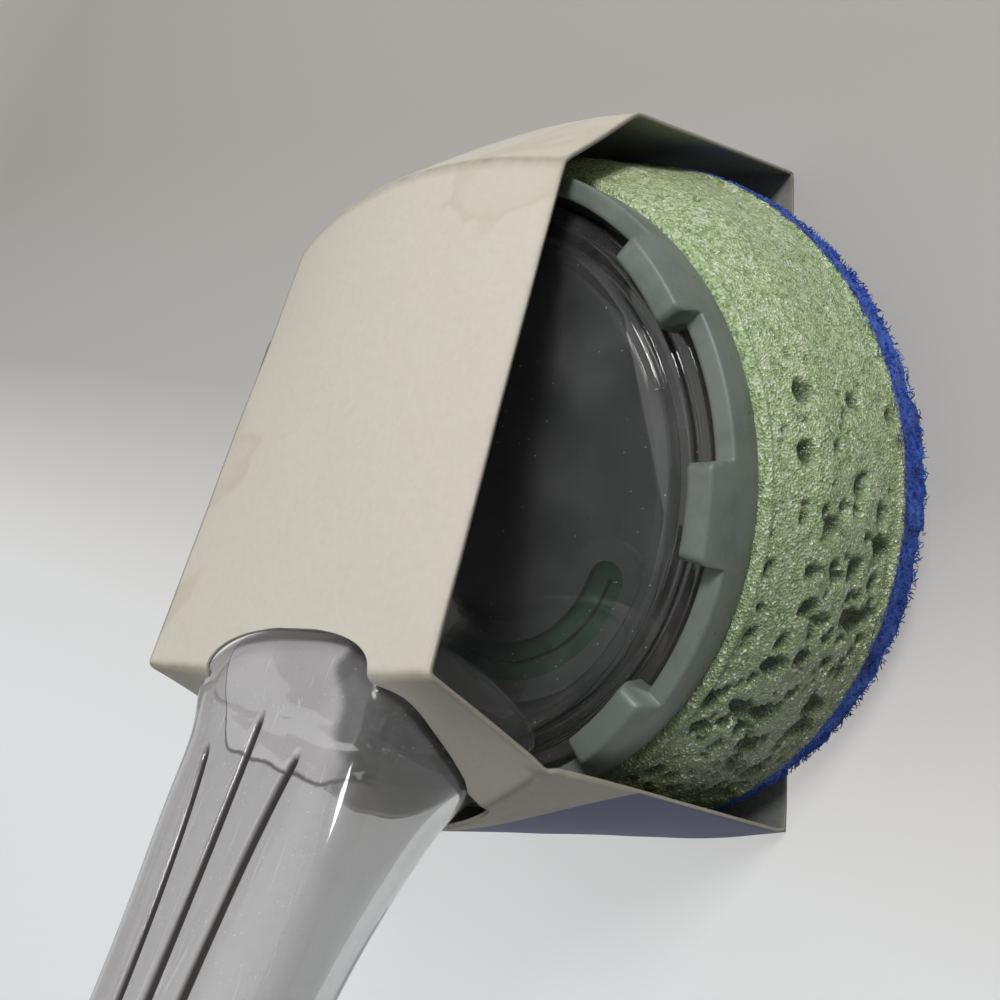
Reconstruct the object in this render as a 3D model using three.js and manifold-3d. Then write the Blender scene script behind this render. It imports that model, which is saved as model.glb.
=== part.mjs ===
// Soap-dispensing bath scrubber in its card sleeve, lying on the sleeve's front panel.
// Millimetres, X across, Y away from the handle, Z up; the origin lies on the floor under the head.
import * as THREE from "three";
import { mergeVertices } from "three/addons/utils/BufferGeometryUtils.js";
import Module from "manifold-3d";

const wasm = await Module();
wasm.setup();

// Clearances, and the small bevel on moulded edges
const FIT_GAP = 0.3;
const SLIDE_GAP = 0.4;
const BEVEL = 0.4;

// How the head lies in the sleeve
const HEAD_TILT = 8;

// Snap ring
const RING_R = 50;
const RING_WALL = 3;
const RING_WALL_H = 6.8;
const LEDGE_H = 1.2;
const LUG_COUNT = 9;
const LUG_SPAN = 16;
const LUG_FIRST = 270;
const LUG_RISE = 4.05;
const LUG_LEAN = 1.25;
const LUG_CORNER = 1.3;
const LUG_ROOT = 0.2;
const HOOK_REACH = 2.4;

// Head of the bottle, each radius stepped in from the one before
const FLANGE_GAP = 1.4;
const FLANGE_H = 2;
const STEP_IN = 2.1;
const STEP_H = 0.8;
const SHOULDER_IN = 3.2;
const SHOULDER_RISE = 1.5;
const BACK_ROUND = 1.2;
const BOTTLE_WALL = 2.2;
const SKIRT_IN = 2.4;
const SKIRT_DEPTH = 4.6;
const PLATE_SEAT = 1.2;
const SEAL_H = 0.7;
const SEAL_LAND = 2.2;

// Dispensing plate, its arc slot and the valve in the slot
const PLATE_H = 2;
const SLOT_X = 5;
const SLOT_Y = -6.2;
const SLOT_MARGIN = 18.5;
const SLOT_FROM = -126;
const SLOT_TO = -27;
const SLOT_W = 6;
const VALVE_LIP = 1.4;
const VALVE_LIP_H = 0.9;
const VALVE_SLIT = 0.6;
const FRAME_WALL = 1.5;
const FRAME_TOP_H = 0.9;

// Handle: its widest line runs back and up from a point under the neck
const HANDLE_LIFT = 30.9;
const AXIS_IN = 8.6;
const AXIS_Z = 37.1;
const GRIP_HALF_W = 15;
const NECK_EXTRA_W = 7.6;
const GRIP_UPPER_H = 6;
const GRIP_UNDER_H = 9.1;
const NECK_EXTRA_H = 1.2;
const NECK_EXTRA_DEPTH = 14.3;
const NECK_FADE = 22;
const NECK_REACH = 17.5;
const FOOT_HALF_W = 17;
const FOOT_DEPTH = 8.7;
const HANDLE_LEN = 150;
const END_R = 12.5;
const END_BLEND = 45;
const CORNER_POWER = 0.86;
const GROOVE_R = 1.1;
const GROOVE_SIDE = 4.4;
const GROOVE_SPREAD = 5;
const GROOVE_FADE = 20;
const GROOVE_TO = 118;

// Filler mouth, screw cap and its seal
const MOUTH_R = 8.4;
const MOUTH_WALL = 1.8;
const MOUTH_LEN = 11;
const THREAD_PITCH = 3;
const THREAD_TURNS = 2;
const THREAD_H = 0.8;
const THREAD_FOOT = 2.4;
const THREAD_HALF_W = 0.6;
const THREAD_ROOT = 0.2;
const CAP_SKIRT = 2.4;
const CAP_TOP = 2.4;
const CAP_RIBS = 24;
const CAP_RIB_R = 0.9;
const CAP_SEAL_H = 1.4;

// Sponge and scouring pad
const SPONGE_MARGIN = 1.5;
const SPONGE_FLARE = 9.2;
const SPONGE_H = 27.3;
const SPONGE_BULGE = 0.9;
const PAD_H = 8.5;
const PAD_EDGE = 1.2;

// Card sleeve folds at the side edges and at the middle, as [beyond the sponge, above the head], and half-width
const CARD = 0.6;
const FOLDS = [
  { facing: -1, side: [-29, 38.2], middle: [-28.5, 38.6], half: 28.5 },
  { facing: 1, side: [-19, 16.8], middle: [-15.7, 21.6], half: 28.5 },
  { facing: 1, side: [-4.8, 1.2], middle: [2.9, 2.1], half: 30.5 },
  { facing: 1, side: [4.7, "floor"], middle: [8.3, "floor"], half: 35 },
  { facing: -1, side: [-7, "floor"], middle: [-1.3, "floor"], half: 33.3 },
  { facing: -1, side: [-18.5, 15.4], middle: [-7.9, 16.6], half: 28.5 },
];
const CARD_STATIONS = 10;
const CUT_GAP = 1;
// Half outline of the arch cut into the back panel, as [x, y beyond the fold over the neck]
const ARCH = [[20.5, -14.3], [19.5, -6.3], [17.5, -2.8], [14, 1.7], [8.5, 4.7], [0, 5.5]];
const ARCH_CUT = 12;

const ROUND = 48;
const HANDLE_ROUND = 28;
const MOUTH_ROUND = 32;
const rad = THREE.MathUtils.degToRad;

// Plain indexed geometry with every triangle facing out
function tidyGeometry(geometry) {
  geometry.deleteAttribute("normal");
  geometry.deleteAttribute("uv");
  const welded = mergeVertices(geometry, 1e-4);
  const p = welded.getAttribute("position").array;
  const index = Uint32Array.from(welded.index.array);
  let volume = 0;
  for (let i = 0; i < index.length; i += 3) {
    const a = new THREE.Vector3().fromArray(p, 3 * index[i]);
    const b = new THREE.Vector3().fromArray(p, 3 * index[i + 1]);
    const c = new THREE.Vector3().fromArray(p, 3 * index[i + 2]);
    volume += a.dot(b.cross(c));
  }
  if (volume < 0) {
    for (let i = 0; i < index.length; i += 3) {
      const held = index[i];
      index[i] = index[i + 1];
      index[i + 1] = held;
    }
  }
  welded.setIndex(new THREE.BufferAttribute(index, 1));
  return welded;
}

function solid(geometry) {
  const g = tidyGeometry(geometry);
  const vertProperties = new Float32Array(g.getAttribute("position").array);
  return new wasm.Manifold(new wasm.Mesh({ numProp: 3, vertProperties, triVerts: g.index.array }));
}

function geometryOf(body) {
  const m = body.getMesh();
  const g = new THREE.BufferGeometry();
  g.setAttribute("position", new THREE.BufferAttribute(new Float32Array(m.vertProperties), 3));
  g.setIndex(new THREE.BufferAttribute(new Uint32Array(m.triVerts), 1));
  return g;
}

// Body turned about Z from [radius, height] points
function turned(points, segments = ROUND) {
  const g = new THREE.LatheGeometry(points.map(([r, z]) => new THREE.Vector2(r, z)), segments);
  g.rotateX(Math.PI / 2);
  return solid(g);
}

function tube(inner, outer, bottom, top, segments = ROUND) {
  return turned([[inner, bottom], [outer, bottom], [outer, top], [inner, top], [inner, bottom]], segments);
}

function disc(radius, bottom, top, segments = ROUND) {
  return turned([[0, bottom], [radius, bottom], [radius, top], [0, top]], segments);
}

// Body skinned over a row of rings with equal point counts, closed by flat ends
function skinned(rings, closed = false) {
  const n = rings[0].length;
  const positions = rings.flat().flatMap((v) => [v.x, v.y, v.z]);
  const index = [];
  const last = closed ? rings.length : rings.length - 1;
  for (let i = 0; i < last; i++) {
    const k = (i + 1) % rings.length;
    for (let j = 0; j < n; j++) {
      const a = i * n + j;
      const b = i * n + ((j + 1) % n);
      const c = k * n + j;
      const d = k * n + ((j + 1) % n);
      index.push(a, b, c, b, d, c);
    }
  }
  if (!closed) {
    for (let j = 1; j < n - 1; j++) {
      index.push(0, j + 1, j);
      const e = (rings.length - 1) * n;
      index.push(e, e + j, e + j + 1);
    }
  }
  const g = new THREE.BufferGeometry();
  g.setAttribute("position", new THREE.Float32BufferAttribute(positions, 3));
  g.setIndex(index);
  return solid(g);
}

// Band that follows the arc of the dispensing slot, with round ends
function arcBand(width, bottom, top) {
  const shape = new THREE.Shape();
  const half = width / 2;
  const end = new THREE.Vector2(Math.cos(rad(SLOT_TO)), Math.sin(rad(SLOT_TO))).multiplyScalar(slotR);
  const start = new THREE.Vector2(Math.cos(rad(SLOT_FROM)), Math.sin(rad(SLOT_FROM))).multiplyScalar(slotR);
  shape.absarc(0, 0, slotR + half, rad(SLOT_FROM), rad(SLOT_TO), false);
  shape.absarc(end.x, end.y, half, rad(SLOT_TO), rad(SLOT_TO + 180), false);
  shape.absarc(0, 0, slotR - half, rad(SLOT_TO), rad(SLOT_FROM), true);
  shape.absarc(start.x, start.y, half, rad(SLOT_FROM + 180), rad(SLOT_FROM + 360), false);
  const g = new THREE.ExtrudeGeometry(shape, { depth: top - bottom, bevelEnabled: false, curveSegments: 9 });
  g.translate(SLOT_X, SLOT_Y, bottom);
  return solid(g);
}

// Radii from the snap ring inwards and outwards
const ringInR = RING_R - RING_WALL;
const hookInR = ringInR - HOOK_REACH;
const flangeR = ringInR - FLANGE_GAP;
const stepR = flangeR - STEP_IN;
const shoulderR = stepR - SHOULDER_IN;
const skirtR = flangeR - SKIRT_IN;
const ledgeInR = skirtR + 2 * FIT_GAP;
const spongeTopR = RING_R + SPONGE_MARGIN;
const spongeR = spongeTopR + SPONGE_FLARE;

// Heights on the head, from the underside of the snap ring
const sealBottom = LEDGE_H + FIT_GAP;
const flangeBottom = sealBottom + SEAL_H + FIT_GAP;
const flangeTop = flangeBottom + FLANGE_H;
const stepTop = flangeTop + STEP_H;
const backTop = stepTop + SHOULDER_RISE;
const hookBottom = flangeTop + FIT_GAP;
const lugTop = RING_WALL_H + LUG_RISE;
const plateBottom = -SKIRT_DEPTH;
const plateTop = plateBottom + PLATE_H;
const skirtInR = skirtR - BOTTLE_WALL;
const plateR = skirtInR - FIT_GAP;
const slotR = plateR - SLOT_MARGIN;
const seatBottom = plateTop + FIT_GAP;
const seatR = skirtInR - PLATE_SEAT;
const ceiling = backTop - BOTTLE_WALL;

// Snap ring with its lugs
const ringProfile = [
  [ledgeInR, 0],
  [RING_R - BEVEL, 0],
  [RING_R, BEVEL],
  [RING_R, RING_WALL_H - BEVEL],
  [RING_R - BEVEL, RING_WALL_H],
  [ringInR, RING_WALL_H],
  [ringInR, LEDGE_H],
  [ledgeInR, LEDGE_H],
  [ledgeInR, 0],
];
let lugRing = turned(ringProfile);
for (let k = 0; k < LUG_COUNT; k++) {
  const middle = LUG_FIRST + (360 / LUG_COUNT) * k;
  const rings = [];
  for (const [part, drop] of [[-1, 1], [-0.85, 0.1], [0, 0], [0.85, 0.1], [1, 1]]) {
    const turn = rad(middle + (part * LUG_SPAN) / 2);
    const top = lugTop - LUG_CORNER * drop;
    const section = [
      [ringInR + LUG_ROOT, hookBottom - 2 * BEVEL],
      [RING_R - LUG_ROOT, hookBottom - 2 * BEVEL],
      [RING_R - LUG_ROOT, RING_WALL_H + BEVEL],
      [RING_R - LUG_LEAN, top - 2 * BEVEL],
      [RING_R - LUG_LEAN - BEVEL, top],
      [hookInR + 2 * BEVEL, top],
      [hookInR, top - 2 * BEVEL],
      [hookInR, hookBottom],
      [ringInR + LUG_ROOT, hookBottom],
    ];
    rings.push(section.map(([r, z]) => new THREE.Vector3(r * Math.cos(turn), r * Math.sin(turn), z)));
  }
  const faces = THREE.ShapeUtils.triangulateShape(
    rings[0].map((v) => new THREE.Vector2(Math.hypot(v.x, v.y), v.z)),
    [],
  );
  lugRing = lugRing.add(lugBody(rings, faces));
}

// Lug skinned over its sections, the two ends filled by the section's own triangles
function lugBody(rings, faces) {
  const n = rings[0].length;
  const positions = rings.flat().flatMap((v) => [v.x, v.y, v.z]);
  const index = [];
  for (let i = 0; i < rings.length - 1; i++) {
    for (let j = 0; j < n; j++) {
      const a = i * n + j;
      const b = i * n + ((j + 1) % n);
      index.push(a, b, a + n, b, b + n, a + n);
    }
  }
  const e = (rings.length - 1) * n;
  for (const [a, b, c] of faces) {
    index.push(a, c, b);
    index.push(e + a, e + b, e + c);
  }
  const g = new THREE.BufferGeometry();
  g.setAttribute("position", new THREE.Float32BufferAttribute(positions, 3));
  g.setIndex(index);
  return solid(g);
}

// Handle axis, and the handle's widths and depths along it
const axisStart = new THREE.Vector3(0, AXIS_IN - stepR, AXIS_Z);
const axisDir = new THREE.Vector3(0, -Math.cos(rad(HANDLE_LIFT)), Math.sin(rad(HANDLE_LIFT)));
const axisUp = new THREE.Vector3(0, Math.sin(rad(HANDLE_LIFT)), Math.cos(rad(HANDLE_LIFT)));
const axisAt = (s) => axisStart.clone().addScaledVector(axisDir, s);
const smooth = (t) => THREE.MathUtils.smoothstep(t, 0, 1);
const endShare = (s) => smooth((s - HANDLE_LEN + END_BLEND) / (END_BLEND - 5));
const blend = (grip, s) => grip * (1 - endShare(s)) + END_R * endShare(s);
const neckFlare = (s) => Math.exp(-s / NECK_FADE);
const halfWidth = (s) => blend(GRIP_HALF_W + NECK_EXTRA_W * neckFlare(s), s);
const upperDepth = (s) => blend(GRIP_UPPER_H + NECK_EXTRA_H * neckFlare(s), s);
const underDepth = (s) => blend(GRIP_UNDER_H + NECK_EXTRA_DEPTH * neckFlare(s), s);

// Section between a top and a bottom point, widest at a share of the way down, grown by one amount all round
function sectionRing(top, bottom, widest, half, power, grow) {
  const upward = top.clone().sub(bottom).normalize();
  const middle = top.clone().lerp(bottom, widest);
  const rise = top.distanceTo(middle) + grow;
  const fall = bottom.distanceTo(middle) + grow;
  const ring = [];
  for (let j = 0; j < HANDLE_ROUND; j++) {
    const t = (2 * Math.PI * j) / HANDLE_ROUND;
    const c = Math.sign(Math.cos(t)) * Math.abs(Math.cos(t)) ** power;
    const h = Math.sign(Math.sin(t)) * Math.abs(Math.sin(t)) ** power;
    const v = middle.clone().addScaledVector(upward, h * (h > 0 ? rise : fall));
    v.x = c * (half + grow);
    ring.push(v);
  }
  return ring;
}

function handleRing(s, grow) {
  const top = axisAt(s).addScaledVector(axisUp, upperDepth(s));
  const bottom = axisAt(s).addScaledVector(axisUp, -underDepth(s));
  const widest = upperDepth(s) / (upperDepth(s) + underDepth(s));
  const power = CORNER_POWER + (1 - CORNER_POWER) * endShare(s);
  return sectionRing(top, bottom, widest, halfWidth(s), power, grow);
}

// Neck: the top line runs on under the arch and bends down, the bottom line drops to the head's edge
const neckTop = new THREE.CubicBezierCurve3(
  axisAt(0).addScaledVector(axisUp, upperDepth(0)),
  axisAt(0).addScaledVector(axisUp, upperDepth(0)).add(new THREE.Vector3(0, NECK_REACH, -0.24 * NECK_REACH)),
  new THREE.Vector3(0, -stepR / 2, AXIS_Z / 2),
  new THREE.Vector3(0, FOOT_DEPTH + FIT_GAP - stepR, backTop - BEVEL),
);
const neckBottom = new THREE.QuadraticBezierCurve3(
  axisAt(0).addScaledVector(axisUp, -underDepth(0)),
  new THREE.Vector3(0, -stepR - SKIRT_IN, AXIS_Z / 4),
  new THREE.Vector3(0, FIT_GAP - stepR, flangeTop - 1),
);

function neckRing(q, grow) {
  const start = upperDepth(0) / (upperDepth(0) + underDepth(0));
  const widest = start + (0.5 - start) * q;
  const half = halfWidth(0) + (FOOT_HALF_W - halfWidth(0)) * q;
  return sectionRing(neckTop.getPoint(q), neckBottom.getPoint(q), widest, half, CORNER_POWER, grow);
}

function handleBody(to, grow) {
  const neck = [1, 0.86, 0.72, 0.58, 0.45, 0.33, 0.22, 0.11].map((q) => neckRing(q, grow));
  const stations = [0, 8, 17, 28, 44, 70, 105, 115, 125, 135, 143];
  const inside = stations.filter((s) => s < to - 1);
  return skinned([...neck, ...[...inside, to].map((s) => handleRing(s, grow))]);
}

// Moves a body built along Z to a point of the handle's axis
function alongAxis(body, s) {
  const basis = new THREE.Matrix4().makeBasis(new THREE.Vector3(1, 0, 0), axisUp, axisDir);
  basis.setPosition(axisAt(s));
  return body.transform(basis.elements);
}

// Screw thread ridge, pointing out or in
function thread(base, height, foot) {
  const steps = 16 * THREAD_TURNS;
  const rings = [];
  for (let i = 0; i <= steps; i++) {
    const t = (2 * Math.PI * i) / 16;
    const z = foot + (THREAD_PITCH * i) / 16;
    const at = (r, dz) => new THREE.Vector3(r * Math.cos(t), r * Math.sin(t), z + dz);
    const crest = THREAD_HALF_W / 3;
    const end = base + height;
    rings.push([at(base, -THREAD_HALF_W), at(end, -crest), at(end, crest), at(base, THREAD_HALF_W)]);
  }
  return skinned(rings);
}

// Bottle: handle, neck and head back in one hollow moulding, open below the head and at the mouth
const bigBox = (bottom) => {
  const size = 4 * HANDLE_LEN;
  const g = new THREE.BoxGeometry(size, size, size);
  g.translate(0, 0, bottom + size / 2);
  return solid(g);
};
const headOuter = turned([
  [0, -SKIRT_DEPTH],
  [skirtR, -SKIRT_DEPTH],
  [skirtR, flangeBottom],
  [flangeR, flangeBottom],
  [flangeR, flangeTop - BEVEL],
  [flangeR - BEVEL, flangeTop],
  [stepR, flangeTop],
  [stepR - 0.5, stepTop],
  [shoulderR + 0.6, stepTop],
  [shoulderR, backTop - BACK_ROUND],
  [shoulderR - BEVEL, backTop - BEVEL],
  [shoulderR - BACK_ROUND, backTop],
  [0, backTop],
]);
const headInner = turned([
  [0, -SKIRT_DEPTH - 1],
  [skirtInR, -SKIRT_DEPTH - 1],
  [skirtInR, seatBottom],
  [seatR, seatBottom],
  [seatR, stepTop - BOTTLE_WALL],
  [shoulderR - BOTTLE_WALL, ceiling],
  [0, ceiling],
]);
const handleOuter = handleBody(HANDLE_LEN, 0).intersect(bigBox(stepTop - 1));
const handleInner = handleBody(HANDLE_LEN - BOTTLE_WALL - 1, -BOTTLE_WALL).intersect(bigBox(ceiling - 1));
const mouthInR = MOUTH_R - MOUTH_WALL;
const mouth = alongAxis(disc(MOUTH_R, -1, MOUTH_LEN, MOUTH_ROUND), HANDLE_LEN)
  .add(alongAxis(thread(MOUTH_R - THREAD_ROOT, THREAD_H + THREAD_ROOT, THREAD_FOOT), HANDLE_LEN));
const mouthBore = alongAxis(disc(mouthInR, -8, MOUTH_LEN + 1, MOUTH_ROUND), HANDLE_LEN);

// Three long tapering grooves down the back of the handle
function groove(side, from) {
  const rings = [];
  for (let i = 0; i <= 12; i++) {
    const s = from + ((GROOVE_TO - from) * i) / 12;
    const x = side * (GROOVE_SIDE + GROOVE_SPREAD * Math.exp(-s / GROOVE_FADE));
    const share = Math.abs(x) / halfWidth(s);
    const top = upperDepth(s) * (1 - share ** (2 / CORNER_POWER)) ** (CORNER_POWER / 2);
    const r = GROOVE_R * Math.min(1, 0.4 + i / 6);
    const middle = axisAt(s).addScaledVector(axisUp, top + 0.25);
    const ring = [];
    for (let j = 0; j < 6; j++) {
      const t = (2 * Math.PI * j) / 6;
      const v = middle.clone().addScaledVector(axisUp, r * Math.sin(t));
      v.x = x + r * Math.cos(t);
      ring.push(v);
    }
    rings.push(ring);
  }
  return skinned(rings);
}

const lugSweep = tube(hookInR - SLIDE_GAP, RING_R + 10, flangeTop, lugTop + SLIDE_GAP);
const bottle = headOuter
  .add(handleOuter)
  .add(mouth)
  .subtract(headInner)
  .subtract(handleInner)
  .subtract(mouthBore)
  .subtract(lugSweep)
  .subtract(groove(0, 0))
  .subtract(groove(-1, 8))
  .subtract(groove(1, 10));

// Dispensing plate with its arc slot
const basePlate = disc(plateR, plateBottom, plateTop).subtract(arcBand(SLOT_W, plateBottom - 1, plateTop + 1));

// Soft slit valve: a web in the slot, a lip on the plate and a slit through both
const lipTop = plateTop + VALVE_LIP_H;
const valveLipW = SLOT_W + 2 * VALVE_LIP;
const webW = SLOT_W - 2 * FIT_GAP;
const slotValve = arcBand(webW, plateBottom, plateTop + 0.3)
  .add(arcBand(valveLipW, plateTop + 0.1, lipTop))
  .subtract(arcBand(VALVE_SLIT, plateBottom - 1, lipTop + 1));

// Frame that clamps the lip of the valve on the plate
const frameInW = valveLipW + 2 * FIT_GAP;
const frameTop = lipTop + FIT_GAP + FRAME_TOP_H;
const valveFrame = arcBand(frameInW + 2 * FRAME_WALL, plateTop + 0.1, frameTop)
  .subtract(arcBand(frameInW, plateTop - 1, lipTop + FIT_GAP))
  .subtract(arcBand(SLOT_W, plateTop, frameTop + 1));

// Flat seal between the flange and the ledge of the snap ring
const headSeal = tube(ledgeInR, ledgeInR + SEAL_LAND, sealBottom, sealBottom + SEAL_H);

// Sponge, recessed on top for the head, and the scouring pad under it
const spongeTop = -FIT_GAP;
const spongeBottom = spongeTop - SPONGE_H;
const recessR = skirtR + 2 * SLIDE_GAP;
const recessFloor = -SKIRT_DEPTH - SLIDE_GAP;
const spongeSide = [];
for (let i = 0; i <= 6; i++) {
  const t = i / 6;
  const r = spongeR + (spongeTopR - spongeR) * t ** 1.3 + SPONGE_BULGE * Math.sin(Math.PI * t);
  spongeSide.push([Math.min(r, spongeR), spongeBottom + 0.4 + (SPONGE_H - 0.8) * t]);
}
const sponge = turned([
  [0, spongeBottom],
  [spongeR - 0.6, spongeBottom],
  ...spongeSide,
  [spongeTopR - 0.6, spongeTop],
  [recessR, spongeTop],
  [recessR, recessFloor],
  [0, recessFloor],
]);
const padTop = spongeBottom - FIT_GAP;
const padBottom = padTop - PAD_H;
const scouringPad = turned([
  [0, padBottom],
  [spongeR - PAD_EDGE, padBottom],
  [spongeR - 0.3 * PAD_EDGE, padBottom + 0.3 * PAD_EDGE],
  [spongeR, padBottom + PAD_EDGE],
  [spongeR, padTop - PAD_EDGE],
  [spongeR - 0.3 * PAD_EDGE, padTop - 0.3 * PAD_EDGE],
  [spongeR - PAD_EDGE, padTop],
  [0, padTop],
]);

// Screw cap with grip ribs, and the seal inside it
const capInR = MOUTH_R + THREAD_H + SLIDE_GAP;
const capOutR = capInR + CAP_SKIRT;
const capFoot = FIT_GAP + 0.2;
const sealFoot = MOUTH_LEN + FIT_GAP;
const capCeiling = sealFoot + CAP_SEAL_H + FIT_GAP;
const capTop = capCeiling + CAP_TOP;
let capBody = turned([
  [0, capCeiling],
  [capInR, capCeiling],
  [capInR, capFoot],
  [capOutR, capFoot],
  [capOutR, capTop - 2 * BEVEL],
  [capOutR - 2 * BEVEL, capTop],
  [0, capTop],
], MOUTH_ROUND);
for (let k = 0; k < CAP_RIBS; k++) {
  const t = (2 * Math.PI * k) / CAP_RIBS;
  const ribTop = capTop - 4 * BEVEL;
  const rib = new THREE.CylinderGeometry(CAP_RIB_R, CAP_RIB_R, ribTop - capFoot, 6);
  rib.rotateX(Math.PI / 2);
  rib.translate(capOutR * Math.cos(t), capOutR * Math.sin(t), (ribTop + capFoot) / 2);
  capBody = capBody.add(solid(rib));
}
const inThread = thread(capInR + THREAD_ROOT, -THREAD_H - THREAD_ROOT, THREAD_FOOT + THREAD_PITCH / 2);
const filler = alongAxis(capBody.add(inThread), HANDLE_LEN);
const sealOutR = capInR - SLIDE_GAP - THREAD_H;
const sealTop = sealFoot + CAP_SEAL_H;
const capSeal = alongAxis(tube(mouthInR - SLIDE_GAP, sealOutR, sealFoot, sealTop, MOUTH_ROUND), HANDLE_LEN);

// Height of the head over the floor: the tilted pad rests on the card
const padReach = -padBottom * Math.cos(rad(HEAD_TILT)) + spongeR * Math.sin(rad(HEAD_TILT));
const headRise = padReach + CARD + FIT_GAP;

// Card sleeve: a loop of six panels that bow out between their side edges
function foldPoint(facing, [beyond, above]) {
  return new THREE.Vector2(facing * (spongeR + beyond), above === "floor" ? 0 : headRise + above);
}

function foldAt(fold, u) {
  return foldPoint(fold.facing, fold.side).lerp(foldPoint(fold.facing, fold.middle), 1 - u * u);
}

// Loop moved in by the card's thickness
function insetLoop(loop) {
  const n = loop.length;
  return loop.map((corner, i) => {
    const before = corner.clone().sub(loop[(i + n - 1) % n]).normalize();
    const after = loop[(i + 1) % n].clone().sub(corner).normalize();
    const inward = new THREE.Vector2(before.y + after.y, -before.x - after.x).normalize();
    const reach = CARD / (inward.x * before.y - inward.y * before.x);
    return corner.clone().addScaledVector(inward, reach);
  });
}

function sleeveBody() {
  const outer = [];
  const inner = [];
  for (let i = 0; i <= CARD_STATIONS; i++) {
    const u = -1 + (2 * i) / CARD_STATIONS;
    const loop = FOLDS.map((fold) => foldAt(fold, u));
    const place = (v, k) => new THREE.Vector3(u * FOLDS[k].half, v.x, v.y);
    outer.push(loop.map(place));
    inner.push(insetLoop(loop).map(place));
  }
  return skinned([...outer, ...inner.reverse()], true);
}

const placeHead = new THREE.Matrix4().makeRotationX(rad(HEAD_TILT)).setPosition(0, 0, headRise);
const inPlace = (body) => body.transform(placeHead.elements);
const neckFold = foldPoint(FOLDS[0].facing, FOLDS[0].side);
const archShape = new THREE.Shape([
  ...ARCH.map(([x, y]) => new THREE.Vector2(x, y)),
  ...ARCH.slice(0, -1).reverse().map(([x, y]) => new THREE.Vector2(-x, y)),
]);
const archGeometry = new THREE.ExtrudeGeometry(archShape, { depth: 2 * ARCH_CUT, bevelEnabled: false });
archGeometry.translate(0, neckFold.x, neckFold.y - ARCH_CUT);
const cardSleeve = sleeveBody()
  .subtract(solid(archGeometry))
  .subtract(inPlace(handleBody(HANDLE_LEN / 2, CUT_GAP)));

// Assembly
const part = new THREE.Group();
part.name = "bath_scrubber";

function place(name, body, colour, more = {}) {
  const mesh = new THREE.Mesh(geometryOf(body), new THREE.MeshStandardMaterial({ color: colour, ...more }));
  mesh.name = name;
  part.add(mesh);
}

const smoke = { roughness: 0.1, transparent: true, opacity: 0.6 };
place("reservoir_bottle", inPlace(bottle), 0x6f7274, smoke);
place("base_plate", inPlace(basePlate), 0x45494a, { roughness: 0.4 });
place("valve_frame", inPlace(valveFrame), 0x3c403f, { roughness: 0.4 });
place("slot_valve", inPlace(slotValve), 0x31443a, { roughness: 0.5 });
place("head_seal", inPlace(headSeal), 0x2b2c2c, { roughness: 0.8 });
place("lug_ring", inPlace(lugRing), 0x87908d, { roughness: 0.45 });
place("sponge", inPlace(sponge), 0xa9c79a, { roughness: 1 });
place("scouring_pad", inPlace(scouringPad), 0x1f55c9, { roughness: 1 });
place("filler_cap", inPlace(filler), 0x6f7776, { roughness: 0.45 });
place("cap_seal", inPlace(capSeal), 0x2b2c2c, { roughness: 0.8 });
place("card_sleeve", cardSleeve, 0xe6e0d2, { roughness: 0.9 });

export default part;
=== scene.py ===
"""Bath scrubber with a soap handle and a card sleeve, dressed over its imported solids. Sizes are in
millimetres until a mesh is made, and metres in the meshes."""
import math

import bmesh
import bpy
import mathutils
import numpy as np
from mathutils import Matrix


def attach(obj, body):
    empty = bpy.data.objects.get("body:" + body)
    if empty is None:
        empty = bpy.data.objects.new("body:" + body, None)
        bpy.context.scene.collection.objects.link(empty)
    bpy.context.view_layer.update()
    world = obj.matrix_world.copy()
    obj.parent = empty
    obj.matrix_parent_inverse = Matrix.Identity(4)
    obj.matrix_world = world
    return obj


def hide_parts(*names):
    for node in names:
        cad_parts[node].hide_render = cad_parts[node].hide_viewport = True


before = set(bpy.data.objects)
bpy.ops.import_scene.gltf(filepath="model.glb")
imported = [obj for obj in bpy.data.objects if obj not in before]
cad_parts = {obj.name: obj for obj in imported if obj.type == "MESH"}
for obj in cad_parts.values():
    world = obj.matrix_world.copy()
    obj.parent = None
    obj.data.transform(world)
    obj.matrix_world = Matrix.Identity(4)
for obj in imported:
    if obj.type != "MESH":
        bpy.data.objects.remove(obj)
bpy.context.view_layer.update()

bl_info = {
    "name": "Bath scrubber",
    "version": (1, 0, 0),
    "blender": (4, 5, 0),
    "location": "3D View > Sidebar > Scrubber",
    "description": "Builds the visible pieces of a soap-dispensing bath scrubber over its solids",
    "category": "Object",
}

# How the head lies in the sleeve
HEAD_TILT = math.radians(8)
HEAD_RISE = 45.4

# Metres in a millimetre, and cells of the noise along each side before it repeats
MM = 0.001
LATTICE = 32

# Clip ring and head, heights from the ring's underside
RING_R = 50.0
RING_IN_R = 47.0
RING_MID_R = 48.4
RING_WALL_H = 6.8
RING_BEND_H = 5.6
LEDGE_IN_R = 43.8
LEDGE_H = 1.2
LUG_COUNT = 9
LUG_SPAN = 16.0
LUG_FIRST = 270.0
LUG_TOP = 10.85
LUG_TOP_R = 48.75
HOOK_IN_R = 44.6
HOOK_BOTTOM = 4.8
HOOK_TOP = 9.0
LUG_END = 1.6
LUG_DROP = 1.35
BACK_TOP = 6.8

# Handle: its axis from the neck outwards, its foot and end, its wall, and the waist beside the card
LIFT = math.radians(30.9)
AXIS = np.array([0.0, -34.9, 37.1])
AXIS_DIR = np.array([0.0, -math.cos(LIFT), math.sin(LIFT)])
AXIS_UP = np.array([0.0, math.sin(LIFT), math.cos(LIFT)])
HANDLE_DROP = HEAD_TILT - LIFT
HANDLE_LEN = 150.0
FOOT_HALF = 14.5
END_R = 12.5
END_FROM = 45.0
END_OVER = 40.0
WALL = 2.2
WAIST = 3.2
WAIST_LEN = 10.0
WAIST_FILL = 0.6
NECK_PINCH = 2.2
CORNER_POWER = 0.86

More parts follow.
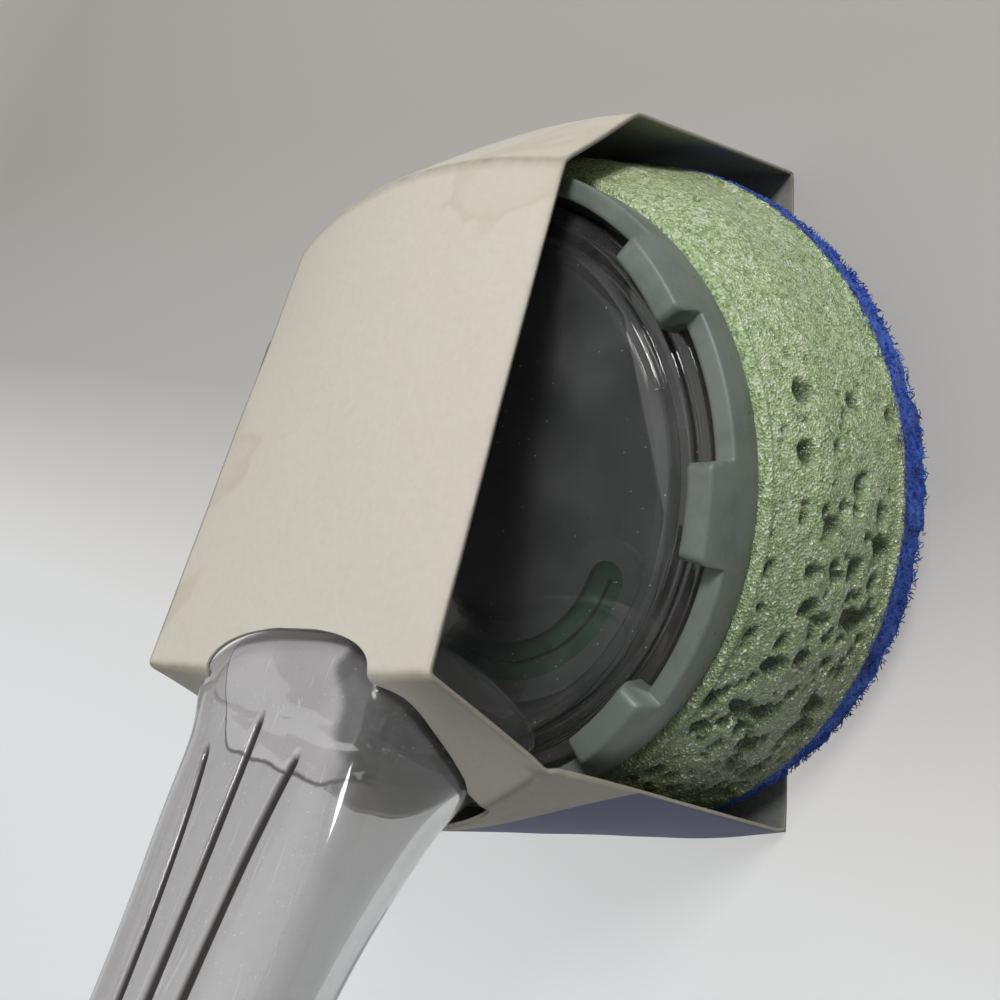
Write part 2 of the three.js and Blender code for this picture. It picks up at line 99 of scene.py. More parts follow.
# Grip: size far out, what the neck adds to it, and over how many millimetres that fades
GRIP_HALF = (15.0, 7.6)
GRIP_UPPER = (6.0, 1.2)
GRIP_UNDER = (9.1, 14.3)
GRIP_FADE = 22.0

# Neck: control points of its top and bottom lines, and the length that its share stands for
NECK_BEND = [0, 18.0, -2.6]
NECK_TOP = [[0, -21.75, 19.5], [0, -34.5, 6.4]]
NECK_UNDER = [[0, -45.9, 9.275], [0, -43.2, 3.5]]
NECK_LEN = 40.0
NECK_ROWS = 44
FINE_ROWS = 75
GRIP_ROWS = 60

# Grooves: side and start of each, how far apart they end and start, and where they fade out
GROOVES = ((0, 0.0), (-1, 4.7), (1, 4.5))
GROOVE_SIDE = 4.5
GROOVE_SPREAD = 6.0
GROOVE_CLOSE = 20.0
GROOVE_END = 108.0
GROOVE_FADE = 12.0

# Dried soap: its edge along the handle, and how far to the right it reaches
SOAP_EDGE = 6.0
SOAP_SIDE = 13.0
SOAP_SIDE_LEAST = 10.5

# Filler mouth and threads: pitch, height, first and last place past the handle's end, and start of a turn
MOUTH_R = 8.4
MOUTH_IN_R = 6.6
MOUTH_LEN = 11.0
MOUTH_ROUND = 0.4
END_WALL = 3.2
PITCH = 3.0
MOUTH_RIDGE = 0.75
MOUTH_THREAD = (1.2, 8.9)
MOUTH_TURN = 2.4
CAP_RIDGE = 0.7
CAP_THREAD = (2.8, 9.6)
CAP_TURN = 3.9

# Back and flange of the head, as radius and height, and the heights that the neck rests on
HEAD_COLS = 192
HEAD_OUTLINE = np.array([
    [41.0, -4.6], [43.2, -4.6], [43.2, 2.5], [45.6, 2.5], [45.6, 4.5], [43.5, 4.5], [43.1, 5.3], [41.0, 5.3],
    [40.4, BACK_TOP], [0.0, BACK_TOP + 0.5], [0.0, 4.9], [38.1, 4.6], [39.8, 3.1], [39.8, -2.3],
    [41.0, -2.3]])
REST_R = [0, 39.1, 40.4, 43.1, 43.6, 60]
REST_H = [7.2, 7.0, 6.9, 5.4, 4.6, 4.6]
LUG_PATH_R = 44.0
LUG_PATH_TOP = 11.3

# Screw cap, heights from the end of the handle
CAP_IN_R = 9.6
CAP_OUT_R = 12.0
CAP_FOOT = 0.5
CAP_CEILING = 13.0
CAP_TOP = 15.4
CAP_RIBS = 24
CAP_COLS = 288

# Sponge, pad and fibres, heights from the ring's underside; each keeps its gap to the card
SPONGE_R = 60.7
SPONGE_TOP_R = 51.5
SPONGE_TOP = -0.3
SPONGE_BOTTOM = -27.6
RECESS_R = 44.0
RECESS_FLOOR = -5.0
SPONGE_ROWS = 124
SPONGE_COLS = 700
BASE_ROWS = 10
SPONGE_EDGE = 0.4
SPONGE_FLARE = 1.3
SPONGE_BELLY = 0.9
SPONGE_NOISE = ((0.4, 9.0, 3), (0.16, 2.6, 4), (0.1, 0.9, 5))
CROWD_SHARE = 0.4
CROWD_TURN = (-1.6, -0.75, 0.25)
PORE_LEAST = 0.3
PORE_MOST = 2.0
PORE_DEEPEST = 1.9
PORE_BLOCKS = 18
SPONGE_GAP = 0.4
PAD_R = 60.0
PAD_TOP = -27.9
PAD_BOTTOM = -36.4
PAD_EDGE = 1.0
PAD_FLAT = 1.7
PAD_RIM = 2.7
PAD_NOISE = ((0.45, 1.2, 11), (0.3, 4.0, 12))
PAD_COLS = 480
PAD_GAP = 0.45
FIBRE_GAP = 0.35
FIBRE_STRAY = 0.35
FIBRE_THICK = (0.06, 0.12)
FIBRE_TAPER = np.array([0.15, 1, 1, 0.9, 0.15])
FIBRE_TURNS = (0.0, 2.0944, 4.1888)

# Card sleeve: y and z of each fold at the side edges and at the middle, its half-width, and the printed
# field's edge; a panel starts at the fold of its own number
CARD = 0.6
BACK, BEVEL, FRONT, BOTTOM, REAR, SLOPE = range(6)
FOLD_SIDE = np.array([[-31.7, 83.6], [41.7, 62.2], [55.9, 46.6], [65.4, 0.0], [-53.7, 0.0], [-42.2, 60.8]])
FOLD_MIDDLE = np.array([[-32.2, 84.0], [45.0, 67.0], [60.0, 47.2], [70.6, 0.0], [-57.4, 0.0], [-52.8, 62.0]])
FOLD_HALF = np.array([28.5, 28.5, 30.5, 35.0, 33.3, 28.5])
FOLD_ROUND = 1.1
CARD_COLS = 44
INK_TOP = 55.5
INK_DROP = 13.5
INK_HALF = 29.0
CARD_NOISE = ((1.0, 22.0, 31), (0.5, 8.0, 32))
CARD_MIDDLE = np.array([0.0, 5.0, 40.0])
FOLD_WEAR = 1.2
EDGE_WEAR = 0.8

# Cut-out for the neck: arch on the back, foot below the fold, and how far it lies to one side
ARCH_HALF = 16.2
ARCH_RISE = 5.5
ARCH_POWER = 2.2
CUT_HALF = 19.0
CUT_BELOW = 3.2
CUT_POWER = 2.6
CUT_GROW = 0.5
CUT_LOWEST = 45.0
CUT_OVER = 2.4
BENT_CORNER = np.array([FOLD_HALF[SLOPE], *FOLD_SIDE[SLOPE]])
BENT_REACH = 2.0
BENT_RISE = 0.6
BENT_WAVE = 2.4

# Stage in metres: floor, light of the room, lamps by name, place, width and power, and the photo's camera
FLOOR_HALF = 2.0
FLOOR_LINES = 9
FLOOR_DROP = 0.0004
ROOM_PALE = "#b2b1ae"
ROOM_LIGHT = (0.95, 0.97, 1.0)
LAMPS = (("window", (0.38, 0.42, 0.76), 0.24, 5.4), ("overhead", (-0.2, 0.1, 0.9), 0.7, 1.2))
LAMP_AIM = np.array([0.0, 0.0, 0.05])
CAMERA_RIGHT = (0.7692, 0.0505, -0.6370)
CAMERA_UP = (0.081, 0.9811, 0.1755)
CAMERA_BACK = (0.6338, -0.1866, 0.7506)
CAMERA_AT = (0.1093, -0.0334, 0.1683)
LENS = 36.9
SENSOR = 36


def hex_linear(code):
    """Linear colour of an sRGB hex value; a colour that is linear already is left as it is."""
    if not isinstance(code, str):
        return tuple(code)
    parts = [int(code[i:i + 2], 16) / 255 for i in (1, 3, 5)]
    return tuple(c / 12.92 if c <= 0.04045 else ((c + 0.055) / 1.055) ** 2.4 for c in parts)


def to_part(p):
    """Head frame in millimetres to the part frame in metres: a turn about X by the tilt, then the rise."""
    c, s = math.cos(HEAD_TILT), math.sin(HEAD_TILT)
    y = p[..., 1] * c - p[..., 2] * s
    z = p[..., 1] * s + p[..., 2] * c + HEAD_RISE
    return stack(p[..., 0], y, z) * MM


def to_head(p):
    """Part frame in millimetres to the head frame in millimetres, the reverse of to_part."""
    c, s = math.cos(HEAD_TILT), math.sin(HEAD_TILT)
    y, z = p[..., 1], p[..., 2] - HEAD_RISE
    return stack(p[..., 0], y * c + z * s, z * c - y * s)


def stack(*parts):
    """Coordinates put together as the last axis of one array."""
    return np.stack(np.broadcast_arrays(*parts), -1)


def unit(v):
    """Directions of vectors, 1 long."""
    return v / (np.linalg.norm(v, axis=-1, keepdims=True) + 1e-9)


def quadratic(start, pull, end, t):
    """Quadratic curve from start to end, drawn towards pull."""
    return (1 - t) ** 2 * start + 2 * t * (1 - t) * pull + t ** 2 * end


def quads(rows, cols, wrap_rows=False, wrap_cols=False):
    """Corner numbers of every cell of a grid of points, with either side joined to its start if asked."""
    i = np.arange(rows if wrap_rows else rows - 1)[:, None]
    j = np.arange(cols if wrap_cols else cols - 1)[None, :]
    k, m = (i + 1) % rows, (j + 1) % cols
    return stack(i * cols + j, i * cols + m, k * cols + m, k * cols + j).reshape(-1, 4)


def put_piece(name, points, faces, values=None, closed=True):
    """Mesh object from points in metres and faces, with named values per point. Doubled points are merged
    and, on a closed shape, faces are turned outwards."""
    mesh = bpy.data.meshes.new(name)
    mesh.from_pydata(points.reshape(-1, 3).tolist(), [], faces.tolist())
    for key, value in (values or {}).items():
        mesh.attributes.new(key, "FLOAT", "POINT").data.foreach_set("value", value.astype(np.float32).ravel())
    work = bmesh.new()
    work.from_mesh(mesh)
    bmesh.ops.remove_doubles(work, verts=work.verts, dist=1e-6)
    if closed:
        bmesh.ops.recalc_face_normals(work, faces=work.faces)
    work.to_mesh(mesh)
    work.free()
    mesh.polygons.foreach_set("use_smooth", np.ones(len(mesh.polygons), bool))
    obj = bpy.data.objects.new(name, mesh)
    bpy.context.scene.collection.objects.link(obj)
    return obj


def soft_noise(p, cell, seed):
    """Smooth random values from -1 to 1: numbers on a cubic lattice with that cell, blended by a cubic
    ramp."""
    table = np.random.default_rng(seed).uniform(-1, 1, (LATTICE, LATTICE, LATTICE))
    q = p / cell
    low = np.floor(q).astype(int)
    f = q - low
    f = f * f * (3 - 2 * f)
    total = np.zeros(p.shape[:-1])
    for corner in np.ndindex(2, 2, 2):
        w = np.prod(np.where(corner, f, 1 - f), axis=-1)
        i = (low + corner) % LATTICE
        total += w * table[i[..., 0], i[..., 1], i[..., 2]]
    return total


def rough_noise(p, layers):
    """Sum of smooth noises, each with its height, cell and seed."""
    return sum(height * soft_noise(p, cell, seed) for height, cell, seed in layers)


def rounded(corners, reach, steps):
    """Closed outlines with soft corners: each corner of the (..., n, 2) outline becomes a short quadratic
    curve that starts and ends at most reach away from it."""
    before = np.roll(corners, 1, axis=-2) - corners
    after = np.roll(corners, -1, axis=-2) - corners
    lb = np.linalg.norm(before, axis=-1, keepdims=True) + 1e-9
    la = np.linalg.norm(after, axis=-1, keepdims=True) + 1e-9
    start = corners + before / lb * np.minimum(reach, 0.45 * lb)
    end = corners + after / la * np.minimum(reach, 0.45 * la)
    t = np.linspace(0, 1, steps)[:, None]
    curve = quadratic(start[..., None, :], corners[..., None, :], end[..., None, :], t)
    return curve.reshape(corners.shape[:-2] + (-1, 2))


def turned(profile, steps):
    """Points of a profile of (radius, height) carried round Z in equal steps: rows follow the profile."""
    t = np.linspace(0, 2 * np.pi, steps, endpoint=False)
    r, z = profile[:, 0][:, None], profile[:, 1][:, None]
    return stack(r * np.cos(t), r * np.sin(t), z)


def smoothstep(t):
    """Soft step from 0 to 1: 3 t squared less 2 t cubed."""
    t = np.clip(t, 0, 1)
    return t * t * (3 - 2 * t)


# Handle form: widths and depths along its axis

def end_share(s):
    """How far the section has become the round end: 0 on the grip, 1 at the end."""
    return smoothstep((s - HANDLE_LEN + END_FROM) / END_OVER)


def grip_size(size, s):
    """A size of the section at a place s along the axis: the grip's own and the neck's fading share, then
    the end's."""
    far = end_share(s)
    return (size[0] + size[1] * np.exp(-s / GRIP_FADE)) * (1 - far) + END_R * far


def bezier(points, q):
    """Curve of any degree over its control points: repeated blending of neighbours by the share q."""
    level = [np.broadcast_to(np.array(c, float), q.shape + (3,)) for c in points]
    while len(level) > 1:
        level = [a + (b - a) * q[..., None] for a, b in zip(level[:-1], level[1:])]
    return level[0]


def neck_lines(q):
    """Top and bottom lines of the neck from the handle (q 0) down to the head's edge (q 1)."""
    zero = np.zeros(1)
    top = AXIS + grip_size(GRIP_UPPER, zero) * AXIS_UP
    bottom = AXIS - grip_size(GRIP_UNDER, zero) * AXIS_UP
    return bezier([top, top + NECK_BEND, *NECK_TOP], q), bezier([bottom, *NECK_UNDER], q)


def handle_section(s):
    """Top and bottom point, widest share, half-width and corner power of the section at a place s along the
    axis; from s = -1 to 0 it is the neck, with -s as the share of the way to its foot. A bell along the
    axis makes the waist, which the neck fills again."""
    along, q = np.maximum(s, 0), np.clip(-s, 0, 1)
    up, under = grip_size(GRIP_UPPER, along), grip_size(GRIP_UNDER, along)
    axis = AXIS + along[..., None] * AXIS_DIR
    neck_top, neck_bottom = neck_lines(q)
    on_neck = (s < 0)[..., None]
    top = np.where(on_neck, neck_top, axis + up[..., None] * AXIS_UP)
    bottom = np.where(on_neck, neck_bottom, axis - under[..., None] * AXIS_UP)
    start = up / (up + under)
    fill = 1 - WAIST_FILL * smoothstep(q / 0.2)
    half = grip_size(GRIP_HALF, along) - WAIST * np.exp(-(along / WAIST_LEN) ** 2) * fill
    turn_in = smoothstep(q / 0.5)
    widest = start + (0.5 - start) * turn_in
    half = half - NECK_PINCH * turn_in + (FOOT_HALF - half + NECK_PINCH) * q ** 2
    power = CORNER_POWER + (1 - CORNER_POWER) * end_share(along) - 0.3 * np.exp(-along / 14)
    power = power - 0.06 * turn_in + 0.3 * q * q
    return top, bottom, widest, half, power


def groove_side(s):
    """Distance of the outer grooves from the middle one, closing in along the handle."""
    return GROOVE_SIDE + GROOVE_SPREAD * np.exp(-np.maximum(s, 0) / GROOVE_CLOSE)


def groove_depth(x, s, depth):
    """Depth of three long tapering grooves at a place across and along the handle: a bell across each
    groove, rising over a few millimetres from its start and fading out at the far end."""
    total = np.zeros(np.broadcast(x, s).shape)
    for side, start in GROOVES:
        centre = side * groove_side(s)
        rise = smoothstep((s - start) / 2) * (1 - smoothstep((s - GROOVE_END) / GROOVE_FADE))
        width = 0.55 + 0.1 * smoothstep((s - start) / 40)
        total = np.maximum(total, depth * rise * np.exp(-((x - centre) / width) ** 2))
    return total


# Materials

def node(tree, kind, *values, **settings):
    """New shader node with its settings. Its values are one table of named inputs, or follow the order of
    the inputs in use; a value that is a node or a socket is linked, by a node's first output in use."""
    n = tree.nodes.new("ShaderNode" + kind)
    for key, value in settings.items():
        setattr(n, key, value)
    if values and isinstance(values[0], dict):
        pairs = [(n.inputs[key], value) for key, value in values[0].items()]
    else:
        pairs = zip([s for s in n.inputs if not s.is_unavailable], values)
    for socket, value in pairs:
        if isinstance(value, bpy.types.Node):
            value = next(s for s in value.outputs if not s.is_unavailable)
        if isinstance(value, bpy.types.NodeSocket):
            tree.links.new(value, socket)
        else:
            socket.default_value = (*hex_linear(value), 1) if socket.type == "RGBA" else value
    return n


def new_material(name):
    """Empty material, its tree and the socket of its places in metres."""
    m = bpy.data.materials.new(name)
    m.use_nodes = True
    m.node_tree.nodes.clear()
    return m, m.node_tree, node(m.node_tree, "TexCoord").outputs["Object"]


def finish_material(m, shader):
    """Material with its shader joined to the output."""
    out = node(m.node_tree, "OutputMaterial", {"Surface": shader})
    out.is_active_output = True
    return m


def ramp(tree, fac, stops):
    """Colour ramp through stops of position and colour."""
    n = node(tree, "ValToRGB", fac)
    while len(n.color_ramp.elements) < len(stops):
        n.color_ramp.elements.new(0.5)
    for e, (at, colour) in zip(n.color_ramp.elements, stops):
        e.position = at
        e.color = (*hex_linear(colour), 1)
    return n.outputs["Color"]


def smoked_clear(name, tint):
    """Clear smoke-grey styrene, injection moulded: polished, see-through, slightly wavy, with specks of dust,
    a film of dried soap, and grime with painted shade in the grooves and on the head's flange."""
    m, t, at = new_material(name)
    wave = node(t, "TexNoise", {"Vector": at, "Scale": 60.0, "Detail": 2.0})
    dust = node(t, "TexVoronoi", {"Vector": at, "Scale": 520.0})
    some = node(t, "Math", wave, 0.085, operation="MULTIPLY")
    large = node(t, "Math", dust, some, operation="LESS_THAN")
    lint = node(t, "TexVoronoi", {"Vector": at, "Scale": 900.0})
    fine = node(t, "Math", lint, 0.11, operation="LESS_THAN")
    faint = node(t, "Math", fine, 0.35, operation="MULTIPLY")
    speck = node(t, "Math", large, faint, operation="MAXIMUM")
    mist = node(t, "TexNoise", {"Vector": at, "Scale": 35.0, "Detail": 6.0, "Roughness": 0.65})
    rough = node(t, "MapRange", mist, 0.4, 0.75, 0.015, 0.08)
    soiled = node(t, "Math", speck, 0.3, rough, operation="MULTIPLY_ADD")
    bump = node(t, "Bump", {"Height": wave, "Strength": 0.05, "Distance": 0.001})
    shader = node(t, "BsdfPrincipled", {
        "Base Color": tint, "Roughness": soiled, "IOR": 1.5, "Transmission Weight": 1.0, "Normal": bump})
    soil = {key: node(t, "Attribute", attribute_name=key).outputs["Fac"]
            for key in ("grime", "gap", "film", "upper")}
    ragged = node(t, "TexNoise", {"Vector": at, "Scale": 700.0, "Detail": 3.0})
    shift = node(t, "Math", ragged, 0.6, soil["gap"], operation="MULTIPLY_ADD")
    above = node(t, "MapRange", shift, 0.2, 0.4, 1.0, 0.0)
    off = node(t, "Math", shift, 0.3, operation="SUBTRACT")
    away = node(t, "Math", off, operation="ABSOLUTE")
    dark = node(t, "MapRange", away, 0.1, 0.4, 0.75, 0.0)
    tide = node(t, "Math", dark, soil["upper"], operation="MULTIPLY")
    # Grime with painted shade, in the grooves and on the head's flange inside the ring, joined with the tide
    # line of dried soap; the dark shader below shows both grime and painted shade.
    grime = node(t, "Math", soil["grime"], tide, operation="MAXIMUM")
    dirt_and_shade = node(t, "BsdfPrincipled", {
        "Base Color": "#433e3d", "Roughness": 0.9, "Specular IOR Level": 0.1})
    thick = node(t, "Math", soil["film"], 0.56, operation="MULTIPLY")
    thin = node(t, "Math", soil["upper"], 0.33, operation="MULTIPLY")
    film = node(t, "Mix", above, thin, thick)
    haze = node(t, "MapRange", mist, 0.45, 0.8, 0.03, 0.15)
    lengthways = node(t, "Mapping", {
        "Vector": at, "Rotation": (HANDLE_DROP, 0, 0), "Scale": (0.0007, 0.03, 0.0007)},
        vector_type="TEXTURE")
    scratch = node(t, "TexNoise", {"Vector": lengthways, "Scale": 1.0, "Detail": 3.0})
    rubbed = node(t, "MapRange", scratch, 0.62, 0.72, 0.0, 0.22)
    worn = node(t, "Math", rubbed, soil["upper"], haze, operation="MULTIPLY_ADD")
    dusty = node(t, "Math", speck, 0.4, worn, operation="MULTIPLY_ADD")
    coated = node(t, "Math", film, dusty, operation="ADD", use_clamp=True)
    soap = node(t, "BsdfPrincipled", {"Base Color": "#cecbcd", "Roughness": 0.28})
    filmed = node(t, "MixShader", coated, shader, soap)
    soiled_and_shaded_wall = node(t, "MixShader", grime, filmed, dirt_and_shade)
    clear = node(t, "BsdfTransparent", {"Color": tint})
    path = node(t, "LightPath")
    mix = node(t, "MixShader", path.outputs["Is Shadow Ray"], soiled_and_shaded_wall, clear)
    return finish_material(m, mix)


def moulded(name, colour, dark, roughness):
    """Moulded ABS with a fine satin grain of about half a millimetre, and soiling that gathers in
    patches."""
    m, t, at = new_material(name)
    grain = node(t, "TexNoise", {"Vector": at, "Scale": 1800.0, "Detail": 2.0})
    soil = node(t, "TexNoise", {"Vector": at, "Scale": 90.0, "Detail": 8.0, "Roughness": 0.7})
    spots = node(t, "TexVoronoi", {"Vector": at, "Scale": 170.0, "Randomness": 1.0})
    paint = ramp(t, soil, [(0.3, dark), (0.52, colour)])
    spot = node(t, "MapRange", spots, 0.03, 0.07, 0.35, 1.0)
    tint = node(t, "Mix", spot, "#2c2e2a", paint, data_type="RGBA")
    rough = node(t, "MapRange", soil, 0.0, 1.0, roughness + 0.12, roughness - 0.06)
    bump = node(t, "Bump", {"Height": grain, "Strength": 0.12, "Distance": 0.0002})
    shader = node(t, "BsdfPrincipled", {"Base Color": tint, "Roughness": rough, "IOR": 1.52, "Normal": bump})
    return finish_material(m, shader)


def rubber(name, colour):
    """Moulded silicone or rubber: dull, with a faint bloom."""
    m, t, at = new_material(name)
    bloom = node(t, "TexNoise", {"Vector": at, "Scale": 300.0, "Detail": 4.0})
    paint = ramp(t, bloom, [(0.35, colour), (0.75, [min(1, 1.6 * c + 0.01) for c in hex_linear(colour)])])
    shader = node(t, "BsdfPrincipled", {"Base Color": paint, "Roughness": 0.6, "IOR": 1.42})
    return finish_material(m, shader)


def foam():
    """Open-cell polyurethane foam: cells about 0.35 mm across, each catching the light its own way by its
    bump, with painted glints on some cells, painted shade in the pits and painted shade towards the sponge's
    lower side."""
    m, t, at = new_material("polyurethane_foam_open_cell")
    colours = bpy.context.scene.scrubber_colours
    pit = node(t, "Attribute", attribute_name="pit").outputs["Fac"]
    cells = node(t, "TexVoronoi", {"Vector": at, "Scale": 2800.0})
    chance = node(t, "SeparateXYZ", cells.outputs["Color"])
    cloud = node(t, "TexNoise", {"Vector": at, "Scale": 650.0, "Detail": 5.0, "Roughness": 0.65})
    net = node(t, "Math", chance.outputs["X"], 0.45, cloud, operation="MULTIPLY_ADD")
    base = ramp(t, net, [(0.42, "#7c966a"), (0.7, colours.foam), (0.98, "#d3e1bd")])
    age = node(t, "TexNoise", {"Vector": at, "Scale": 26.0, "Detail": 3.0})
    old = node(t, "MapRange", age, 0.52, 0.72, 0.0, 0.4)
    tan = node(t, "Mix", old, base, "#b6ad7e", data_type="RGBA")
    # Painted shade: the colour darkens towards the sponge's lower side.
    damp = node(t, "Attribute", attribute_name="damp").outputs["Fac"]
    lower_shaded = node(t, "Mix", damp, tan, "#55653d", data_type="RGBA")
    # Painted highlights: a share of the cells is lightened towards white as painted glints.
    painted_glint_share = node(t, "MapRange", chance.outputs["Y"], 0.9, 0.94, 0.0, 0.8)
    painted_glint = node(t, "Mix", painted_glint_share, lower_shaded, "#f1f5e4", data_type="RGBA")
    # Painted shade in the pores: the deeper a pit, the darker its colour.
    deep = node(t, "Mix", pit, painted_glint, "#2d4427", data_type="RGBA")
    bump = node(t, "Bump", {"Height": cells, "Strength": 0.8, "Distance": 0.00035})
    shader = node(t, "BsdfPrincipled", {
        "Base Color": deep, "Roughness": 0.22, "IOR": 1.5, "Subsurface Weight": 0.25,
        "Subsurface Radius": (0.002, 0.002, 0.001), "Subsurface Scale": 1.0, "Normal": bump})
    return finish_material(m, shader)


def fleece():
    """Non-woven nylon fibre with abrasive: a tangle of blue threads, light where threads catch the lamp."""
    m, t, at = new_material("nylon_fleece_non_woven")
    colours = bpy.context.scene.scrubber_colours
    tangle = node(t, "TexNoise", {"Vector": at, "Scale": 900.0, "Detail": 6.0, "Roughness": 0.75})
    tuft = node(t, "TexNoise", {"Vector": at, "Scale": 220.0, "Detail": 3.0})
    mixed = node(t, "Math", tangle, tuft, operation="MULTIPLY")
    paint = ramp(t, mixed, [(0.14, "#10307c"), (0.25, colours.fleece), (0.42, "#5a92f4")])
    bump = node(t, "Bump", {"Height": tangle, "Strength": 1.0, "Distance": 0.0006})
    shader = node(t, "BsdfPrincipled", {
        "Base Color": paint, "Roughness": 0.7, "Sheen Weight": 0.15, "Normal": bump})
    return finish_material(m, shader)


def card_face():
    """White-lined paper board: matt with paper fibre, water stains with darker rims, and a plain printed
    blue field."""
    m, t, at = new_material("paper_board_printed")
    colours = bpy.context.scene.scrubber_colours
    fibre = node(t, "TexNoise", {"Vector": at, "Scale": 900.0, "Detail": 5.0, "Roughness": 0.7})
    stain = node(t, "TexNoise", {"Vector": at, "Scale": 22.0, "Detail": 4.0, "Distortion": 0.6})
    rim_stops = ((0.5, 0.0), (0.575, 0.0), (0.6, 0.2), (0.64, 0.06))
    rim = ramp(t, stain, [(place, (grey, grey, grey)) for place, grey in rim_stops])
    paper = ramp(t, fibre, [(0.3, "#cec9bb"), (0.6, colours.card)])
    aged = node(t, "Mix", rim, paper, "#a8966c", data_type="RGBA")
    field = node(t, "Attribute", attribute_name="print").outputs["Fac"]
    edge = node(t, "MapRange", field, -0.25, 0.25)
    ink = node(t, "Mix", edge, aged, colours.ink, data_type="RGBA")
    worn = node(t, "Attribute", attribute_name="worn").outputs["Fac"]
    scuff = node(t, "TexNoise", {"Vector": at, "Scale": 400.0, "Detail": 6.0})
    rub = node(t, "Math", worn, scuff, operation="MULTIPLY")
    shown = node(t, "Mix", rub, ink, "#8f8573", data_type="RGBA")
    bump = node(t, "Bump", {"Height": fibre, "Strength": 0.05, "Distance": 0.0002})
    shader = node(t, "BsdfPrincipled", {"Base Color": shown, "Roughness": 0.62, "IOR": 1.45, "Normal": bump})
    return finish_material(m, shader)


def card_core(name, colour):
    """Grey recycled board, seen inside the sleeve and along its cut edges: dull, flecked with fibre."""
    m, t, at = new_material(name)
    fibre = node(t, "TexNoise", {"Vector": at, "Scale": 1100.0, "Detail": 6.0, "Roughness": 0.75})
    paint = ramp(t, fibre, [(0.3, [0.7 * c for c in hex_linear(colour)]), (0.65, colour)])
    shader = node(t, "BsdfPrincipled", {"Base Color": paint, "Roughness": 0.85})
    return finish_material(m, shader)


def seen_directly(tree):
    """Node that gives 1 for what the camera sees straight, in a reflection or through the clear plastic."""
    path = node(tree, "LightPath")
    rays = ("Is Camera Ray", "Is Glossy Ray", "Is Transmission Ray")
    straight, mirrored, through = [path.outputs[ray] for ray in rays]
    seen = node(tree, "Math", straight, mirrored, operation="MAXIMUM")
    return node(tree, "Math", seen, through, operation="MAXIMUM")


def floor_paper():
    """Plain pale backdrop paper that fades into the colour of the room far out, with painted light falloff:
    its glow is lighter towards the handle and darker to the right and far side, while its paper colour is
    darker towards the handle to soften the object's shadow there."""
    m, t, at = new_material("backdrop_paper_matt")
    split = node(t, "SeparateXYZ", at)
    # Painted light falloff across the backdrop: the share rises away from the handle and to the right.
    lengthwise = node(t, "Math", split.outputs["Y"], 5.0, 0.51, operation="MULTIPLY_ADD")
    share = node(t, "Math", split.outputs["X"], 1.2, lengthwise, operation="MULTIPLY_ADD")
    paint = ramp(t, share, [(0.0, "#7e7f80"), (1.0, "#a3a09c")])
    painted_glow = ramp(t, share, [
        (0.0, "#c8cacb"), (0.22, "#c0c1c1"), (0.33, "#b4b3b0"), (0.6, "#7d7b78"), (1.0, "#5a5854")])
    way = node(t, "VectorMath", at, operation="LENGTH")
    far = node(t, "MapRange", way, 0.35, 0.95)
    painted_glow = node(t, "Mix", far, painted_glow, ROOM_PALE, data_type="RGBA")
    paper = node(t, "BsdfDiffuse", {"Color": paint})
    lit = node(t, "Emission", {"Color": painted_glow, "Strength": seen_directly(t)})
    both = node(t, "AddShader", paper, lit)
    return finish_material(m, both)


def dress(obj, body, materials, nodes=()):
    """Puts materials on a piece, ties it to its body, and hides the solids that it stands for."""
    for m in materials:
        obj.data.materials.append(m)
    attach(obj, body)
    if nodes:
        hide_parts(*nodes)


def length_setting(name, description, default):
    """Property for a length in metres."""
    return bpy.props.FloatProperty(name=name, description=description, default=default, min=0, precision=5,
                                   subtype="DISTANCE", unit="LENGTH")


def colour_setting(name, description, code):
    """Property for a colour, from its sRGB hex value."""
    return bpy.props.FloatVectorProperty(name=name, description=description, default=hex_linear(code),
                                         min=0, max=1, subtype="COLOR")


class ScrubberSizes(bpy.types.PropertyGroup):
    groove: length_setting("Groove depth", "Depth of the handle's grooves", 0.001)
    lug_round: length_setting("Lug rounding", "Radius on the ring's edges", 0.00055)
    crumple: length_setting("Card crumple", "Unevenness of the card", 0.00022)
    pores: bpy.props.IntProperty(
        name="Pores", description="Large pores in the side of the sponge", default=420, min=0)
    fibres: bpy.props.IntProperty(
        name="Fibres", description="Loose fibres round the scouring pad", default=8000, min=0)


class ScrubberColours(bpy.types.PropertyGroup):
    smoke: colour_setting("Smoke", "Tint of the clear bottle", "#d3d3d2")
    back: colour_setting("Back", "Tint of the thicker head back", "#bfc1c0")
    ring: colour_setting("Ring", "Clip ring and cap", "#727b74")
    foam: colour_setting("Foam", "Sponge", "#acc58b")
    fleece: colour_setting("Fleece", "Scouring pad", "#2460d8")
    card: colour_setting("Card", "White side of the card", "#d3cec0")
    ink: colour_setting("Ink", "Plain printed field", "#6f7294")


class SCRUBBER_OT_bottle(bpy.types.Operator):
    """Builds the clear bottle: grooved handle, threaded mouth and round head back"""
    bl_idname = "scrubber.bottle"
    bl_label = "Clear bottle"

    def execute(self, context):
        colours = context.scene.scrubber_colours
        points, soil = handle_points(context.scene.scrubber_sizes.groove / MM)
        faces = quads(points.shape[0], points.shape[1], True, True)
        handle = put_piece("bottle_handle", points, faces, soil)
        material = smoked_clear("smoked_styrene_moulded", colours.smoke)
        dress(handle, "handle", [material], ["reservoir_bottle"])
        material = smoked_clear("smoked_styrene_thick", colours.back)
        profile = rounded(HEAD_OUTLINE, 0.5, 5)
        profile[profile[:, 0] < 0.6, 0] = 0.0
        points = turned(profile, HEAD_COLS)
        # Grime and painted shade on the head's flange inside the ring, below its hooks.
        soiled = 0.75 * smoothstep((profile[:, 0] - 40.6) / 0.6) * smoothstep((4.0 - profile[:, 1]) / 2.0)
        head = put_piece("bottle_head", to_part(points), quads(len(profile), HEAD_COLS, True, True),
                         {"grime": np.repeat(soiled, HEAD_COLS)})
        dress(head, "handle", [material], ["reservoir_bottle"])
        return {"FINISHED"}


